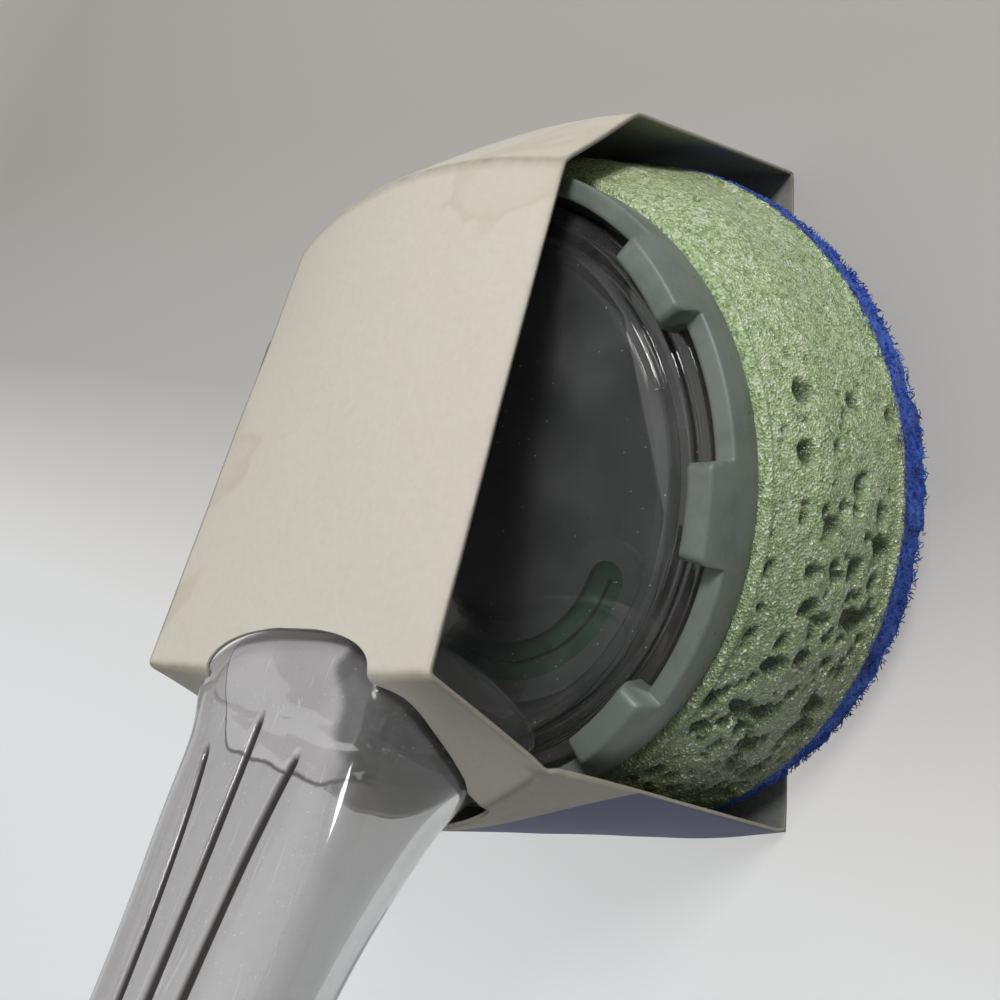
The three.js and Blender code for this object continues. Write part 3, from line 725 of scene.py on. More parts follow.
def handle_rows():
    """Stations along the bottle's wall from the neck's foot out to the mouth and back inside: place along
    the axis, how far the wall is grown, and a round radius where the section is the mouth's circle (0
    elsewhere)."""
    s = np.concatenate([
        np.linspace(-1, 0, NECK_ROWS), np.linspace(0.8, 60, FINE_ROWS),
        np.linspace(61.5, HANDLE_LEN - 0.8, GRIP_ROWS)])
    outer = stack(s, np.zeros_like(s), np.zeros_like(s))
    top = HANDLE_LEN
    mouth = [(top - 0.25, 0, END_R - 0.15), (top, 0, END_R - 0.8), (top, 0, MOUTH_R + MOUTH_ROUND),
             (top + MOUTH_ROUND, 0, MOUTH_R)]
    turns = [(a, 0, MOUTH_R) for a in np.linspace(top + 1, top + 9.4, 29)]
    rim, below_rim, inside = top + MOUTH_LEN, top + MOUTH_LEN - MOUTH_ROUND, top - END_WALL
    lip = [(below_rim, 0, MOUTH_R), (rim, 0, MOUTH_R - 0.5), (rim, 0, MOUTH_IN_R + 0.5),
           (below_rim, 0, MOUTH_IN_R), (inside + 0.6, 0, MOUTH_IN_R), (inside, 0, MOUTH_IN_R + 0.5),
           (inside, 0, END_R - WALL - 0.6)]
    back = s[s < HANDLE_LEN - 4][::-1]
    inner = stack(back, np.full_like(back, -WALL), np.zeros_like(back))
    return np.concatenate([outer, np.array(mouth), np.array(turns), np.array(lip), inner])


def handle_angles(s, half, power):
    """Angles of the points of each section: close columns that run along the three grooves, even ones
    between them and round the underside. An angle is the arc cosine of the place across, raised to the
    inverse of the corner power."""
    near = np.array([1.7, 1.25, 0.95, 0.78, 0.64, 0.52, 0.4, 0.28, 0.14])
    near = np.concatenate([near, [0.0], -near[::-1]])
    centre = np.array([1, 0, -1])[None, :] * groove_side(s)[:, None]
    share = (centre[..., None] + near) / half[:, None, None]
    angle = np.arccos(np.sign(share) * np.abs(share) ** (1 / power[:, None, None]))
    knots = [np.zeros(len(s))]
    for k in range(3):
        knots += [angle[:, k, 0], angle[:, k, -1]]
    knots += [np.full(len(s), np.pi), np.full(len(s), 2 * np.pi)]
    columns = []
    for k, steps in ((0, 36), (1, 0), (2, 14), (3, 0), (4, 14), (5, 0), (6, 36), (7, 90)):
        if steps:
            even = np.linspace(0, 1, steps + 1)[:-1] if k in (0, 7) else np.linspace(0, 1, steps + 2)[1:-1]
            columns.append(knots[k][:, None] + (knots[k + 1] - knots[k])[:, None] * even)
        else:
            columns.append(angle[:, k // 2])
    return np.concatenate(columns, axis=1)


def soap_way(s):
    """Way along the handle in millimetres, also on the neck."""
    return np.where(s < 0, NECK_LEN * s, s)


def tide_gap(x, s):
    """Signed way along the handle from a place to the edge of dried soap, below 0 towards the head. The
    edge runs almost straight across, with a small ripple, and turns down in a parabola on the left and by a
    soft step on the right."""
    left = 0.2 * np.maximum(-x - 3, 0) ** 2
    right = 3 * smoothstep((x - 13) / 7)
    line = SOAP_EDGE - left + 0.14 * x - right + 0.15 * np.sin(x * 1.1)
    return soap_way(s) - line


def thread(t, way):
    """Share of a thread's ridge at an angle and a way along the axis: flat-topped, and one pitch further
    each turn."""
    turn = np.mod(t / (2 * np.pi) - way / PITCH + 0.5, 1) - 0.5
    return smoothstep(1.5 - np.abs(turn) * 6.0)


def handle_points(depth):
    """Closed wall of the handle: rings between a top and a bottom line, cosine across and sine upwards, each
    raised to a power for soft corners; grooves are let into the upper side, and a helix stands on the mouth.
    Points that would pass into the head are held on its back, and inside the lugs' path. Returns the points
    and what marks each: painted shade with grime in the grooves, the way to the soap's edge, the thickness of
    dried soap, and how much it faces up."""
    rows = handle_rows()
    s, grow, circle = rows[:, 0], rows[:, 1][:, None], rows[:, 2][:, None]
    top, bottom, widest, half, power = handle_section(np.minimum(s, HANDLE_LEN))
    t = handle_angles(s, half, power)
    across = np.sign(np.cos(t)) * np.abs(np.cos(t)) ** power[:, None]
    upward = np.sign(np.sin(t)) * np.abs(np.sin(t)) ** power[:, None]
    tall = np.linalg.norm(top - bottom, axis=-1)[:, None]
    up_dir = (top - bottom) / tall
    x = across * (half[:, None] + grow)
    h = upward * (np.where(upward > 0, widest[:, None], 1 - widest[:, None]) * tall + grow)
    along = s[:, None] + 0 * t
    cut = np.where((upward > 0) & (grow == 0) & (along > 0), groove_depth(x, along, depth), 0)
    h = h - cut
    # Painted shade in the grooves, with grime: the deeper the cut, the darker.
    grime = np.where(grow == 0, np.clip(3.0 * cut / max(depth, 1e-6) - 0.4, 0, 1), 0)
    on_top = np.where((grow == 0) & (circle == 0), smoothstep(upward * 3), 0)
    on_top = on_top * smoothstep(2 * (1.15 - np.abs(x) / half[:, None]))
    way = soap_way(along)
    bare = x - np.maximum(SOAP_SIDE + 0.3 * way, SOAP_SIDE_LEAST) + 0.7 * np.sin(0.9 * way)
    film = (1 - 0.9 * smoothstep(bare / 2.0)) * on_top
    soil = {"grime": grime, "gap": np.clip(tide_gap(x, along), -9, 9), "film": film, "upper": on_top}
    out = along - HANDLE_LEN
    on_thread = (out > MOUTH_THREAD[0]) & (out < MOUTH_THREAD[1]) & (circle == MOUTH_R)
    radius = circle + np.where(on_thread, MOUTH_RIDGE * thread(t, out - MOUTH_TURN), 0)
    middle = top + (bottom - top) * widest[:, None]
    p = middle[:, None, :] + h[..., None] * up_dir[:, None, :]
    p[..., 0] = x
    axis = AXIS + s[:, None, None] * AXIS_DIR + (radius * np.sin(t))[..., None] * AXIS_UP
    axis[..., 0] = radius * np.cos(t)
    p = np.where((circle > 0)[..., None], axis, p)
    r = np.hypot(p[..., 0], p[..., 1])
    held = np.where((p[..., 2] < LUG_PATH_TOP) & (r > LUG_PATH_R), LUG_PATH_R / r, 1.0)
    p[..., :2] *= held[..., None]
    rest = np.interp(np.hypot(p[..., 0], p[..., 1]), REST_R, REST_H)
    p[..., 2] = np.maximum(p[..., 2], rest)
    return to_part(p), soil


class SCRUBBER_OT_inner(bpy.types.Operator):
    """Finishes the plate, valve and seals that show through the clear bottle"""
    bl_idname = "scrubber.inner"
    bl_label = "Inner pieces"

    def execute(self, context):
        plate = moulded("abs_dark_moulded", "#646866", "#525654", 0.4)
        rim = moulded("abs_frame_moulded", "#6b706d", "#585c5a", 0.4)
        silicone = rubber("silicone_dark_green", "#2c5540")
        seal = rubber("nitrile_black", "#232323")
        for name, material in (("base_plate", plate), ("valve_frame", rim), ("slot_valve", silicone),
                               ("head_seal", seal), ("cap_seal", seal)):
            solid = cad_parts[name]
            for held in solid.material_slots:
                held.link = "OBJECT"
                held.material = material
        return {"FINISHED"}


class SCRUBBER_OT_ring(bpy.types.Operator):
    """Builds the clip ring with its rounded lugs"""
    bl_idname = "scrubber.ring"
    bl_label = "Clip ring"

    def execute(self, context):
        points = ring_points(context.scene.scrubber_sizes.lug_round / MM)
        ring = put_piece("clip_ring", to_part(points), quads(points.shape[0], points.shape[1], True, True))
        colours = context.scene.scrubber_colours
        material = moulded("abs_green_grey_moulded", colours.ring, "#5d665f", 0.42)
        dress(ring, "refill_head", [material], ["lug_ring"])
        return {"FINISHED"}


def ring_points(soft):
    """Closed ring: an outline of radius and height at each angle, which changes from the plain wall to a
    hooked lug by a share that is 1 on a lug, 0 between, and steep at its ends; lug tops drop at their ends
    in a quarter circle."""
    half = LUG_SPAN / 2
    pitch = 360 / LUG_COUNT
    ends = LUG_END * (1 - np.cos(np.linspace(0, np.pi / 2, 8)))
    local = np.unique(np.concatenate([
        np.linspace(-half, half, 21), half - ends, ends - half, [half + 0.25, -half - 0.25],
        np.linspace(half + 0.6, pitch - half - 0.6, 17)]).round(5))
    angle = (LUG_FIRST + local[None, :] + pitch * np.arange(LUG_COUNT)[:, None]).ravel()
    place = np.tile(local, LUG_COUNT)
    on = (np.abs(place) <= half + 1e-6).astype(float)
    from_end = np.clip((half - np.abs(place)) / LUG_END, 0, 1)
    top = LUG_TOP - LUG_DROP * (1 - np.sqrt(1 - (1 - from_end) ** 2))
    wall, lug = np.zeros((len(angle), 11, 2)), np.zeros((len(angle), 11, 2))
    wall[:] = [
        [LEDGE_IN_R, 0], [RING_R, 0], [RING_R, RING_BEND_H], [RING_R, RING_WALL_H], [RING_MID_R, RING_WALL_H],
        [RING_IN_R, RING_WALL_H], [RING_IN_R, 6.0], [RING_IN_R, HOOK_BOTTOM], [RING_IN_R, 3.6],
        [RING_IN_R, LEDGE_H], [LEDGE_IN_R, LEDGE_H]]
    lug[:] = [
        [LEDGE_IN_R, 0], [RING_R, 0], [RING_R, RING_BEND_H], [RING_R - 0.15, 7.3], [LUG_TOP_R, 0],
        [HOOK_IN_R + 0.5, 0], [HOOK_IN_R, HOOK_TOP], [HOOK_IN_R, HOOK_BOTTOM], [RING_IN_R, HOOK_BOTTOM],
        [RING_IN_R, LEDGE_H], [LEDGE_IN_R, LEDGE_H]]
    lug[:, 4:6, 1] = top[:, None]
    lug[:, 6, 1] = np.minimum(HOOK_TOP, top - 0.8)
    section = rounded(wall + on[:, None, None] * (lug - wall), soft, 4)
    turn = np.radians(angle)[:, None]
    return stack(section[..., 0] * np.cos(turn), section[..., 0] * np.sin(turn), section[..., 1])


class SCRUBBER_OT_sponge(bpy.types.Operator):
    """Builds the open-cell sponge with its large pores"""
    bl_idname = "scrubber.sponge"
    bl_label = "Sponge"

    def execute(self, context):
        points, pit, faces = sponge_points(context.scene.scrubber_sizes.pores)
        # Both values are painted shade: in the pores, by how deep each is pressed, and towards the sponge's
        # lower side.
        sponge = put_piece("foam_sponge", to_part(inside_card(points, SPONGE_GAP)), faces, {
            "pit": pit, "damp": 0.62 * smoothstep((15 - points[..., 1]) / 65)})
        dress(sponge, "refill_head", [foam()], ["sponge"])
        return {"FINISHED"}


def sponge_points(count):
    """Turned block of foam: a flaring side between a flat base and a recessed top. Each pore is a bowl of
    elliptical outline, bent by a fine noise and pressed into the side, and a share of them crowd on one side;
    three more noises make the side uneven."""
    rng = np.random.default_rng(7)
    t = np.linspace(0, 1, SPONGE_ROWS)
    belly = SPONGE_BELLY * np.sin(np.pi * t)
    side_r = np.minimum(SPONGE_R, SPONGE_R + (SPONGE_TOP_R - SPONGE_R) * t ** SPONGE_FLARE + belly)
    side_z = SPONGE_BOTTOM + SPONGE_EDGE + (SPONGE_TOP - SPONGE_BOTTOM - 2 * SPONGE_EDGE) * t
    side_r = np.minimum(side_r, card_room(side_z, SPONGE_GAP) - 0.1)
    side = stack(side_r, side_z)
    base = stack(np.linspace(0, SPONGE_R - 0.5, BASE_ROWS), np.full(BASE_ROWS, SPONGE_BOTTOM))
    top = np.array([[SPONGE_TOP_R - 0.6, SPONGE_TOP], [48.0, SPONGE_TOP], [RECESS_R, SPONGE_TOP],
                    [RECESS_R, RECESS_FLOOR], [22.0, RECESS_FLOOR], [0.0, RECESS_FLOOR]])
    profile = np.concatenate([base, side, top])
    points = turned(profile, SPONGE_COLS)
    zone = slice(BASE_ROWS, BASE_ROWS + SPONGE_ROWS)
    skin = points[zone]
    crowd = int(count * CROWD_SHARE)
    rest = count - crowd
    turn = np.concatenate([rng.uniform(-np.pi, np.pi, rest), rng.triangular(*CROWD_TURN, crowd)])
    part = np.concatenate([rng.uniform(0.02, 0.98, rest), rng.uniform(0.03, 0.97, crowd)])
    size = np.concatenate([rng.gamma(2.0, 0.13, rest) + PORE_LEAST, rng.gamma(2.4, 0.3, crowd) + 0.5])
    size = size.clip(PORE_LEAST, PORE_MOST)
    at_r = np.interp(part, t, side_r)
    middle = stack(at_r * np.cos(turn), at_r * np.sin(turn), np.interp(part, t, side[:, 1]))
    squeeze = rng.uniform(0.7, 1.25, count)
    flat = skin.reshape(-1, 3)
    press = np.zeros(len(flat))
    warped = flat + 0.35 * np.stack([soft_noise(flat, 1.7, 20 + i) for i in range(3)], -1)
    stretch = stack(np.ones(count), np.ones(count), squeeze)
    deepest = np.minimum(1.2 * size, PORE_DEEPEST)
    for rows in np.array_split(np.arange(len(flat)), PORE_BLOCKS):
        near = np.linalg.norm((warped[rows, None, :] - middle[None]) * stretch, axis=-1)
        bowl = np.sqrt(np.clip(1 - (near / size) ** 2, 0, 1)) * deepest
        press[rows] = bowl.max(axis=1)
    fade = np.repeat(np.minimum(1, np.minimum(t, 1 - t) / 0.03), SPONGE_COLS)
    press *= fade
    uneven = rough_noise(flat, SPONGE_NOISE) * fade
    out = unit(flat * np.array([1.0, 1.0, 0.0]))
    points[zone] = (flat + out * (uneven - 0.5 * fade - press)[:, None]).reshape(skin.shape)
    # Share of each point's press into a pore, which the foam paints as shade.
    pit = np.zeros(points.shape[:2])
    pit[zone] = np.clip(press / 1.8, 0, 0.9).reshape(skin.shape[:2])
    return points, pit, quads(len(profile), SPONGE_COLS, False, True)


class SCRUBBER_OT_pad(bpy.types.Operator):
    """Builds the scouring pad and the loose fibres round it"""
    bl_idname = "scrubber.pad"
    bl_label = "Scouring pad"

    def execute(self, context):
        material = fleece()
        points, faces = pad_points()
        pad = put_piece("fleece_pad", to_part(inside_card(points, PAD_GAP)), faces)
        dress(pad, "refill_head", [material], ["scouring_pad"])
        points, faces = pad_fibres(context.scene.scrubber_sizes.fibres)
        fibres = put_piece("fleece_fibres", to_part(inside_card(points, FIBRE_GAP)), faces)
        dress(fibres, "refill_head", [material], ["scouring_pad"])
        return {"FINISHED"}


def pad_points():
    """Turned disc with quarter-round edges; two noises push its rim in and out and its underside up and
    down."""
    edge = np.linspace(0, np.pi / 2, 5)[:, None]
    base = stack(np.linspace(0, PAD_R - PAD_FLAT, 50), np.full(50, PAD_BOTTOM))
    low = np.concatenate([PAD_R - PAD_EDGE + np.sin(edge), PAD_BOTTOM + PAD_EDGE - np.cos(edge)], -1)
    side = stack(np.full(24, PAD_R), np.linspace(PAD_BOTTOM + PAD_EDGE, PAD_TOP - PAD_EDGE, 24))
    high = np.concatenate([PAD_R - PAD_EDGE + np.cos(edge), PAD_TOP - PAD_EDGE + np.sin(edge)], -1)
    cover = stack(np.linspace(PAD_R - PAD_FLAT, 0, 8), np.full(8, PAD_TOP))
    profile = np.concatenate([base, low, side, high, cover])
    points = turned(profile, PAD_COLS)
    rough = rough_noise(points, PAD_NOISE)
    out = points * np.array([1.0, 1.0, 0.0])
    reach = np.linalg.norm(out, axis=-1, keepdims=True) + 1e-6
    rim = np.clip((reach - PAD_R + PAD_RIM) / 2, 0, 1)
    points = points + out / reach * rim * rough[..., None]
    below = points[..., 2] < 0.5 * (PAD_TOP + PAD_BOTTOM)
    points[..., 2] += 0.5 * np.where(below, np.minimum(rough, 0.3), 0) * (1 - rim[..., 0])
    return points, quads(len(profile), PAD_COLS, False, True)


def edge_point(turn, high, reach):
    """Point by the pad's edge, kept between its underside and a little over its top."""
    held = np.clip(high, PAD_BOTTOM + 0.2, PAD_TOP + 2.0)
    return stack(reach * np.cos(turn), reach * np.sin(turn), held)


def pad_fibres(count):
    """Loose fibres: each is a quadratic curve between two points of the pad's edge that bows outwards, as a
    thin three-sided tube that tapers to both ends."""
    rng = np.random.default_rng(23)
    turn = rng.uniform(-np.pi, np.pi, count)
    high = PAD_BOTTOM + 0.3 + (PAD_TOP - PAD_BOTTOM - 0.3) * rng.uniform(0, 1, count)
    stray = rng.uniform(0, 1, count) < FIBRE_STRAY
    lump = np.clip(2.5 * np.sin(7 * turn + 1) * np.sin(17 * turn + 2) * np.sin(31 * turn), 0, 1)
    high = np.where(stray, PAD_TOP + np.abs(rng.normal(0, 0.45, count)) * (1 + 4 * lump), high)
    span = rng.normal(0, 0.011, count)
    rise = rng.normal(0, 0.6, count)
    inner = PAD_R - 0.1
    start = edge_point(turn, high, inner)
    end = edge_point(turn + span, high + rise, inner + rng.uniform(0.3, 1.0, count))
    bow = edge_point(turn + span * rng.uniform(0.2, 0.8, count), high + rise * rng.uniform(0, 1, count),
                     inner + rng.uniform(0.2, 0.9, count))
    t = np.linspace(0, 1, len(FIBRE_TAPER))[None, :, None]
    line = quadratic(start[:, None], bow[:, None], end[:, None], t)
    along = unit(np.gradient(line, axis=1))
    side = unit(np.cross(along, [0.3, 0.2, 0.93]))
    other = np.cross(along, side)
    thick = rng.uniform(*FIBRE_THICK, count)[:, None, None] * FIBRE_TAPER[None, :, None]
    rings = [line + thick * (math.cos(a) * side + math.sin(a) * other) for a in FIBRE_TURNS]
    first = len(FIBRE_TAPER) * len(rings) * np.arange(count)[:, None, None]
    faces = quads(len(FIBRE_TAPER), len(rings), False, True)[None] + first
    return np.stack(rings, 2), faces.reshape(-1, 4)


class SCRUBBER_OT_cap(bpy.types.Operator):
    """Builds the ribbed screw cap"""
    bl_idname = "scrubber.cap"
    bl_label = "Screw cap"

    def execute(self, context):
        points = cap_points()
        cap = put_piece("screw_cap", to_part(points), quads(points.shape[0], points.shape[1], False, True))
        colours = context.scene.scrubber_colours
        material = moulded("abs_cap_moulded", colours.ring, "#5d665f", 0.42)
        dress(cap, "cap", [material], ["filler_cap"])
        return {"FINISHED"}


def cap_points():
    """Turned cup, open below: the outside has a rounded rib every fifteenth degree, a cosine to the fourth
    power, and the inside a thread ridge that climbs 3 mm a turn."""
    out_corners = np.array([
        [CAP_OUT_R, CAP_FOOT + 0.4], [CAP_OUT_R, 13.6], [CAP_OUT_R - 0.25, 14.6],
        [CAP_OUT_R - 1, CAP_TOP - 0.1]])
    lower = np.array([[0, CAP_CEILING], [CAP_IN_R - 0.5, CAP_CEILING], [CAP_IN_R, CAP_CEILING - 0.5]])
    bore = stack(np.full(28, CAP_IN_R), np.linspace(10.5, 2.2, 28))
    foot = np.array([[CAP_IN_R, CAP_FOOT + 0.2], [CAP_IN_R + 0.3, CAP_FOOT], [CAP_OUT_R - 0.4, CAP_FOOT]])
    wall = np.stack([np.interp(np.linspace(0, 3, 22), range(4), c) for c in out_corners.T], -1)
    dish = CAP_TOP - 0.35
    crown = np.array([[CAP_OUT_R - 1.8, CAP_TOP], [8.4, CAP_TOP], [8.0, dish], [4.0, dish], [0, dish]])
    profile = np.concatenate([lower, bore, foot, wall, crown])
    t = np.linspace(0, 2 * np.pi, CAP_COLS, endpoint=False)[None, :]
    r, z = profile[:, 0][:, None], profile[:, 1][:, None]
    row = np.arange(len(profile))[:, None]
    rib_first, bore_first = len(lower) + len(bore) + len(foot), len(lower)
    on_rib = (row >= rib_first) & (row < rib_first + 18)
    ribs = np.where(on_rib, 0.8 * np.cos(t * CAP_RIBS / 2) ** 4 * smoothstep((14.4 - z) / 1.2), 0)
    on_thread = (row >= bore_first) & (row < bore_first + len(bore))
    on_thread = on_thread & (z > CAP_THREAD[0]) & (z < CAP_THREAD[1])
    ridge = np.where(on_thread, CAP_RIDGE * thread(t, z - CAP_TURN), 0)
    rr = r + ribs - ridge
    p = AXIS + (HANDLE_LEN + z)[..., None] * AXIS_DIR + (rr * np.sin(t))[..., None] * AXIS_UP
    p[..., 0] = rr * np.cos(t)
    return p


class SCRUBBER_OT_sleeve(bpy.types.Operator):
    """Builds the folded card sleeve with its cut-out"""
    bl_idname = "scrubber.sleeve"
    bl_label = "Card sleeve"

    def execute(self, context):
        points, faces, ink, worn = sleeve_points(context.scene.scrubber_sizes.crumple / MM)
        sleeve = put_piece("card_loop", points, faces, {"print": ink, "worn": worn}, closed=False)
        thick = sleeve.modifiers.new("board", "SOLIDIFY")
        thick.thickness = CARD * MM
        thick.offset = -1
        thick.use_even_offset = True
        thick.material_offset = 1
        thick.material_offset_rim = 2
        inside = card_core("board_grey_inside", "#85887e")
        edge = card_core("board_cut_edge", "#b3ada0")
        dress(sleeve, "handle", [card_face(), inside, edge], ["card_sleeve"])
        return {"FINISHED"}


def fold_corners(u):
    """Corners of the loop at a share u from -1 to 1 across it: a parabola from the side edges out to the
    middle."""
    bow = (1 - u * u)[..., None, None]
    return FOLD_SIDE + (FOLD_MIDDLE - FOLD_SIDE) * bow


def card_room(high, gap):
    """Radius that the card leaves free for the turning head at a height over the ring's underside, less a
    gap: where a level ray from the head's axis meets the front or the rear panel on the middle line,
    whichever is nearer."""
    lean, rise = math.sin(HEAD_TILT), math.cos(HEAD_TILT)
    base = HEAD_RISE + rise * high
    front = (FOLD_MIDDLE[FRONT, 0] - FOLD_MIDDLE[BOTTOM, 0]) / FOLD_MIDDLE[FRONT, 1]
    rear = (FOLD_MIDDLE[SLOPE, 0] - FOLD_MIDDLE[REAR, 0]) / FOLD_MIDDLE[SLOPE, 1]
    to_front = (FOLD_MIDDLE[BOTTOM, 0] - CARD - gap + front * base + lean * high) / (rise - lean * front)
    to_rear = -(FOLD_MIDDLE[REAR, 0] + CARD + gap + rear * base + lean * high) / (rise - lean * rear)
    return np.minimum(to_front, to_rear)


def inside_card(p, gap):
    """Points of a soft piece, in the head's frame, drawn in to the radius that the card leaves free."""
    reach = np.hypot(p[..., 0], p[..., 1]) + 1e-9
    held = p.copy()
    held[..., :2] *= np.minimum(1, card_room(p[..., 2], gap) / reach)[..., None]
    return held


def loop_places():
    """Stations round the loop: panel number and share along it, closer together by the cut-out."""
    even = {BEVEL: np.linspace(0, 1, 16), FRONT: np.linspace(0, 1, 26), BOTTOM: np.linspace(0, 1, 26),
            SLOPE: np.linspace(0, 1, 40)}
    back = np.concatenate([[0.0], 0.08 * (1 - np.linspace(1, 0, 48)[1:] ** 2), np.linspace(0.09, 1, 34)])
    rear = np.concatenate([np.linspace(0, 0.9, 20), np.linspace(0.91, 1, 18)])
    panels = {**even, BACK: back, REAR: rear}
    return [(k, panels[k][:-1]) for k in range(len(FOLD_SIDE))]


def corner_at(corners, k):
    """Corner number k, counted round the loop, at each place."""
    pick = np.broadcast_to(k[..., None, None] % len(FOLD_SIDE), corners.shape[:-2] + (1, 2))
    return np.take_along_axis(corners, pick, axis=-2)[..., 0, :]


def loop_surface(u, panel, share):
    """Place on the card for shares across and along: straight between the corners of a panel, and within
    the fold's rounding pulled to a quadratic curve that leaves the corner empty."""
    corners = fold_corners(u)
    a, b, before, after = [corner_at(corners, panel + k) for k in (0, 1, -1, 2)]
    span = np.linalg.norm(b - a, axis=-1)
    ahead = (b - a) / span[..., None]
    place = a + (b - a) * share[..., None]
    for corner, other, inward, gap in (
            (a, before, ahead, share * span), (b, after, -ahead, (1 - share) * span)):
        near = np.clip(1 - gap / FOLD_ROUND, 0, 1)[..., None]
        place = place + (inward + unit(other - corner)) * FOLD_ROUND * 0.25 * near ** 2
    return place


def handle_reach(place, grow):
    """How far the grown handle reaches sideways at places (y, z) of the head frame: the mean of the three
    nearest points of a fine table of its sections, 0 outside."""
    s = np.concatenate([np.linspace(-1, 0, 90), np.linspace(0.5, 50, 100)])
    h = np.linspace(-1, 1, 81)
    top, bottom, widest, half, power = handle_section(s)
    tall = np.linalg.norm(top - bottom, axis=-1)
    up_dir = (top - bottom) / tall[:, None]
    middle = top + (bottom - top) * widest[:, None]
    rise = np.where(h > 0, widest[:, None], 1 - widest[:, None]) * tall[:, None] + grow
    at = (middle[:, None, :] + (h * rise)[..., None] * up_dir[:, None, :])[..., 1:].reshape(-1, 2)
    reach = ((half[:, None] + grow) * (1 - np.abs(h) ** (2 / power[:, None])) ** (power[:, None] / 2)).ravel()
    gap = np.linalg.norm(place[:, None, :] - at[None], axis=-1)
    near = np.argsort(gap, axis=1)[:, :3]
    close = np.take_along_axis(gap, near, axis=1)
    weight = 1 / (close + 0.05)
    mean = (reach[near] * weight).sum(axis=1) / weight.sum(axis=1)
    return np.where(close[:, 0] < 0.9, mean, 0.0)


def sleeve_points(crumple):
    """Two halves of a loop of six panels, each running from the edge of the cut-out, or from the middle
    line where there is none, to a side edge. The cut-out is where the grown handle crosses the card, joined
    to an arch on the back."""
    places = loop_places()
    panel = np.concatenate([np.full(len(f), k) for k, f in places])
    share = np.concatenate([f for _, f in places])
    rows = len(panel)
    half = FOLD_HALF[panel] + (FOLD_HALF[(panel + 1) % len(FOLD_HALF)] - FOLD_HALF[panel]) * share
    hole = np.zeros(rows)
    for _ in range(4):
        yz = loop_surface(hole / half, panel, share)
        rise = np.clip((yz[:, 0] - FOLD_SIDE[BACK, 0]) / ARCH_RISE, 0, 1)
        arch = ARCH_HALF * (1 - rise ** ARCH_POWER) ** (1 / ARCH_POWER)
        slope = CUT_HALF + (ARCH_HALF - CUT_HALF) * share
        under = np.clip((FOLD_SIDE[SLOPE, 1] - yz[:, 1]) / CUT_BELOW, 0, 1)
        foot = CUT_HALF * (1 - under ** CUT_POWER) ** (1 / CUT_POWER)
        shape = np.select([panel == BACK, panel == SLOPE, panel == REAR], [arch, slope, foot], 0.0)
        card = np.concatenate([np.zeros((rows, 1)), yz], -1)
        reach = handle_reach(to_head(card)[:, 1:], CUT_GROW)
        near = np.isin(panel, (BACK, REAR, SLOPE)) & (yz[:, 1] > CUT_LOWEST)
        hole = np.where(near, np.minimum(np.maximum(shape, reach), 0.94 * half), 0)
    t = np.linspace(0, 1, CARD_COLS)[None, :]
    reach = hole[:, None] + (half - hole)[:, None] * t
    uu = reach / half[:, None]
    grid = np.broadcast_to(panel[:, None], uu.shape), np.broadcast_to(share[:, None], uu.shape)
    yz = loop_surface(uu, *grid)
    right = np.concatenate([reach[..., None], yz], -1)
    left = right * np.array([-1.0, 1.0, 1.0])
    points = np.stack([right, left])
    over = np.select([panel == BACK, panel == SLOPE], [np.minimum(hole / 5, 1), share], 0.0)
    points[..., 0] += CUT_OVER * (1 - t) ** 2 * over[:, None]
    flat_front = np.where(points[..., 2] < 1.5, 0.0, 1.0)
    dent = crumple * rough_noise(points, CARD_NOISE) * flat_front
    out = unit((points - CARD_MIDDLE) * np.array([0.0, 1.0, 1.0]))
    points = points + out * dent[..., None]
    bent = np.exp(-(np.linalg.norm(points - BENT_CORNER, axis=-1) / BENT_REACH) ** 2)
    points[..., 1:] += (BENT_RISE * bent * np.sin(BENT_WAVE * points[..., 0]))[..., None]
    points[..., 2] = np.maximum(points[..., 2], 0.0)
    one = quads(rows, CARD_COLS, True, False)
    faces = np.concatenate([one, one[:, ::-1] + rows * CARD_COLS])
    limit = INK_TOP - INK_DROP * (points[..., 0] / INK_HALF) ** 2
    printed = np.isin(panel, (FRONT, BOTTOM, REAR))[None, :, None]
    ink = np.where(printed, np.clip(limit - points[..., 2], -5, 5), -5.0)
    panel_len = np.linalg.norm(np.roll(FOLD_SIDE, -1, 0) - FOLD_SIDE, axis=-1)
    fold_gap = np.minimum(share, 1 - share) * panel_len[panel]
    worn = np.clip(1 - fold_gap / FOLD_WEAR, 0, 1)[None, :, None] * np.ones(points.shape[:-1])
    side_gap = (half[:, None] - reach)[None]
    worn = np.maximum(worn, 0.7 * np.clip(1 - side_gap / EDGE_WEAR, 0, 1) * np.ones(points.shape[:-1]))
    return points * MM, faces, ink, np.maximum(worn, bent)


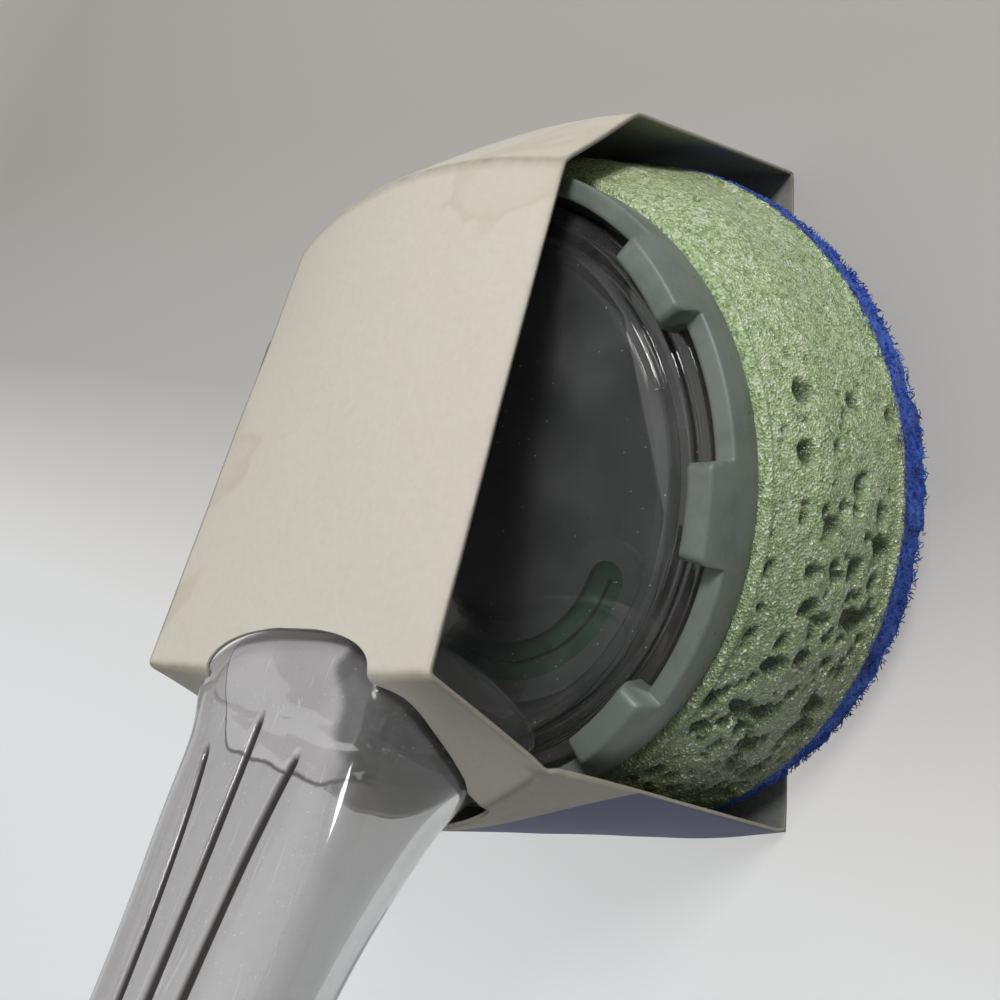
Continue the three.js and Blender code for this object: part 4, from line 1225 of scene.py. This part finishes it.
class SCRUBBER_OT_stage(bpy.types.Operator):
    """Lays the floor and sets the lamps and the camera"""
    bl_idname = "scrubber.stage"
    bl_label = "Stage"

    def execute(self, context):
        scene = context.scene
        scene.view_settings.view_transform = "Standard"
        side = np.linspace(-FLOOR_HALF, FLOOR_HALF, FLOOR_LINES)
        x, y = np.meshgrid(side, side)
        points = stack(x, y, np.full_like(x, -FLOOR_DROP))
        floor = put_piece("floor", points, quads(FLOOR_LINES, FLOOR_LINES), closed=False)
        floor.data.materials.append(floor_paper())
        world = scene.world or bpy.data.worlds.new("soft_room")
        scene.world = world
        world.use_nodes = True
        room = world.node_tree
        room.nodes.clear()
        soft = node(room, "Background", {"Color": ROOM_LIGHT, "Strength": 0.2})
        pale = node(room, "Background", {"Color": ROOM_PALE, "Strength": 1.0})
        shown = node(room, "MixShader", seen_directly(room), soft, pale)
        node(room, "OutputWorld", {"Surface": shown})
        for name, at, size, power in LAMPS:
            lamp = bpy.data.objects.new(name, bpy.data.lights.new(name, "AREA"))
            lamp.data.energy = power
            lamp.data.size = size
            lamp.location = at
            aim = mathutils.Vector((LAMP_AIM - np.array(at)).tolist())
            lamp.rotation_euler = aim.to_track_quat("-Z", "Y").to_euler()
            scene.collection.objects.link(lamp)
        view = bpy.data.objects.new("photo_view", bpy.data.cameras.new("photo_view"))
        view.data.sensor_width = SENSOR
        view.data.lens = LENS
        view.data.clip_start = 0.005
        placed = np.eye(4)
        placed[:3] = stack(CAMERA_RIGHT, CAMERA_UP, CAMERA_BACK, CAMERA_AT)
        view.matrix_world = mathutils.Matrix(placed.tolist())
        scene.collection.objects.link(view)
        scene.camera = view
        return {"FINISHED"}


class SCRUBBER_PT_panel(bpy.types.Panel):
    """Lists the sizes, colours and steps of the scrubber"""
    bl_label = "Bath scrubber"
    bl_idname = "SCRUBBER_PT_panel"
    bl_space_type = "VIEW_3D"
    bl_region_type = "UI"
    bl_category = "Scrubber"

    def draw(self, context):
        for group in (context.scene.scrubber_sizes, context.scene.scrubber_colours):
            for key in group.bl_rna.properties.keys():
                if key not in ("rna_type", "name"):
                    self.layout.prop(group, key)
        for step in STEPS:
            self.layout.operator(step.bl_idname)


STEPS = (SCRUBBER_OT_bottle, SCRUBBER_OT_inner, SCRUBBER_OT_ring, SCRUBBER_OT_sponge, SCRUBBER_OT_pad,
         SCRUBBER_OT_cap, SCRUBBER_OT_sleeve, SCRUBBER_OT_stage)
CLASSES = (ScrubberSizes, ScrubberColours, *STEPS, SCRUBBER_PT_panel)


def register():
    """Makes the settings, steps and panel known."""
    for c in CLASSES:
        bpy.utils.register_class(c)
    bpy.types.Scene.scrubber_sizes = bpy.props.PointerProperty(type=ScrubberSizes)
    bpy.types.Scene.scrubber_colours = bpy.props.PointerProperty(type=ScrubberColours)


def unregister():
    """Takes the settings, steps and panel away again."""
    del bpy.types.Scene.scrubber_colours
    del bpy.types.Scene.scrubber_sizes
    for c in reversed(CLASSES):
        bpy.utils.unregister_class(c)


def main():
    """Builds every piece."""
    register()
    bpy.ops.scrubber.bottle()
    bpy.ops.scrubber.inner()
    bpy.ops.scrubber.ring()
    bpy.ops.scrubber.sponge()
    bpy.ops.scrubber.pad()
    bpy.ops.scrubber.cap()
    bpy.ops.scrubber.sleeve()
    bpy.ops.scrubber.stage()


if __name__ == "__main__":
    main()
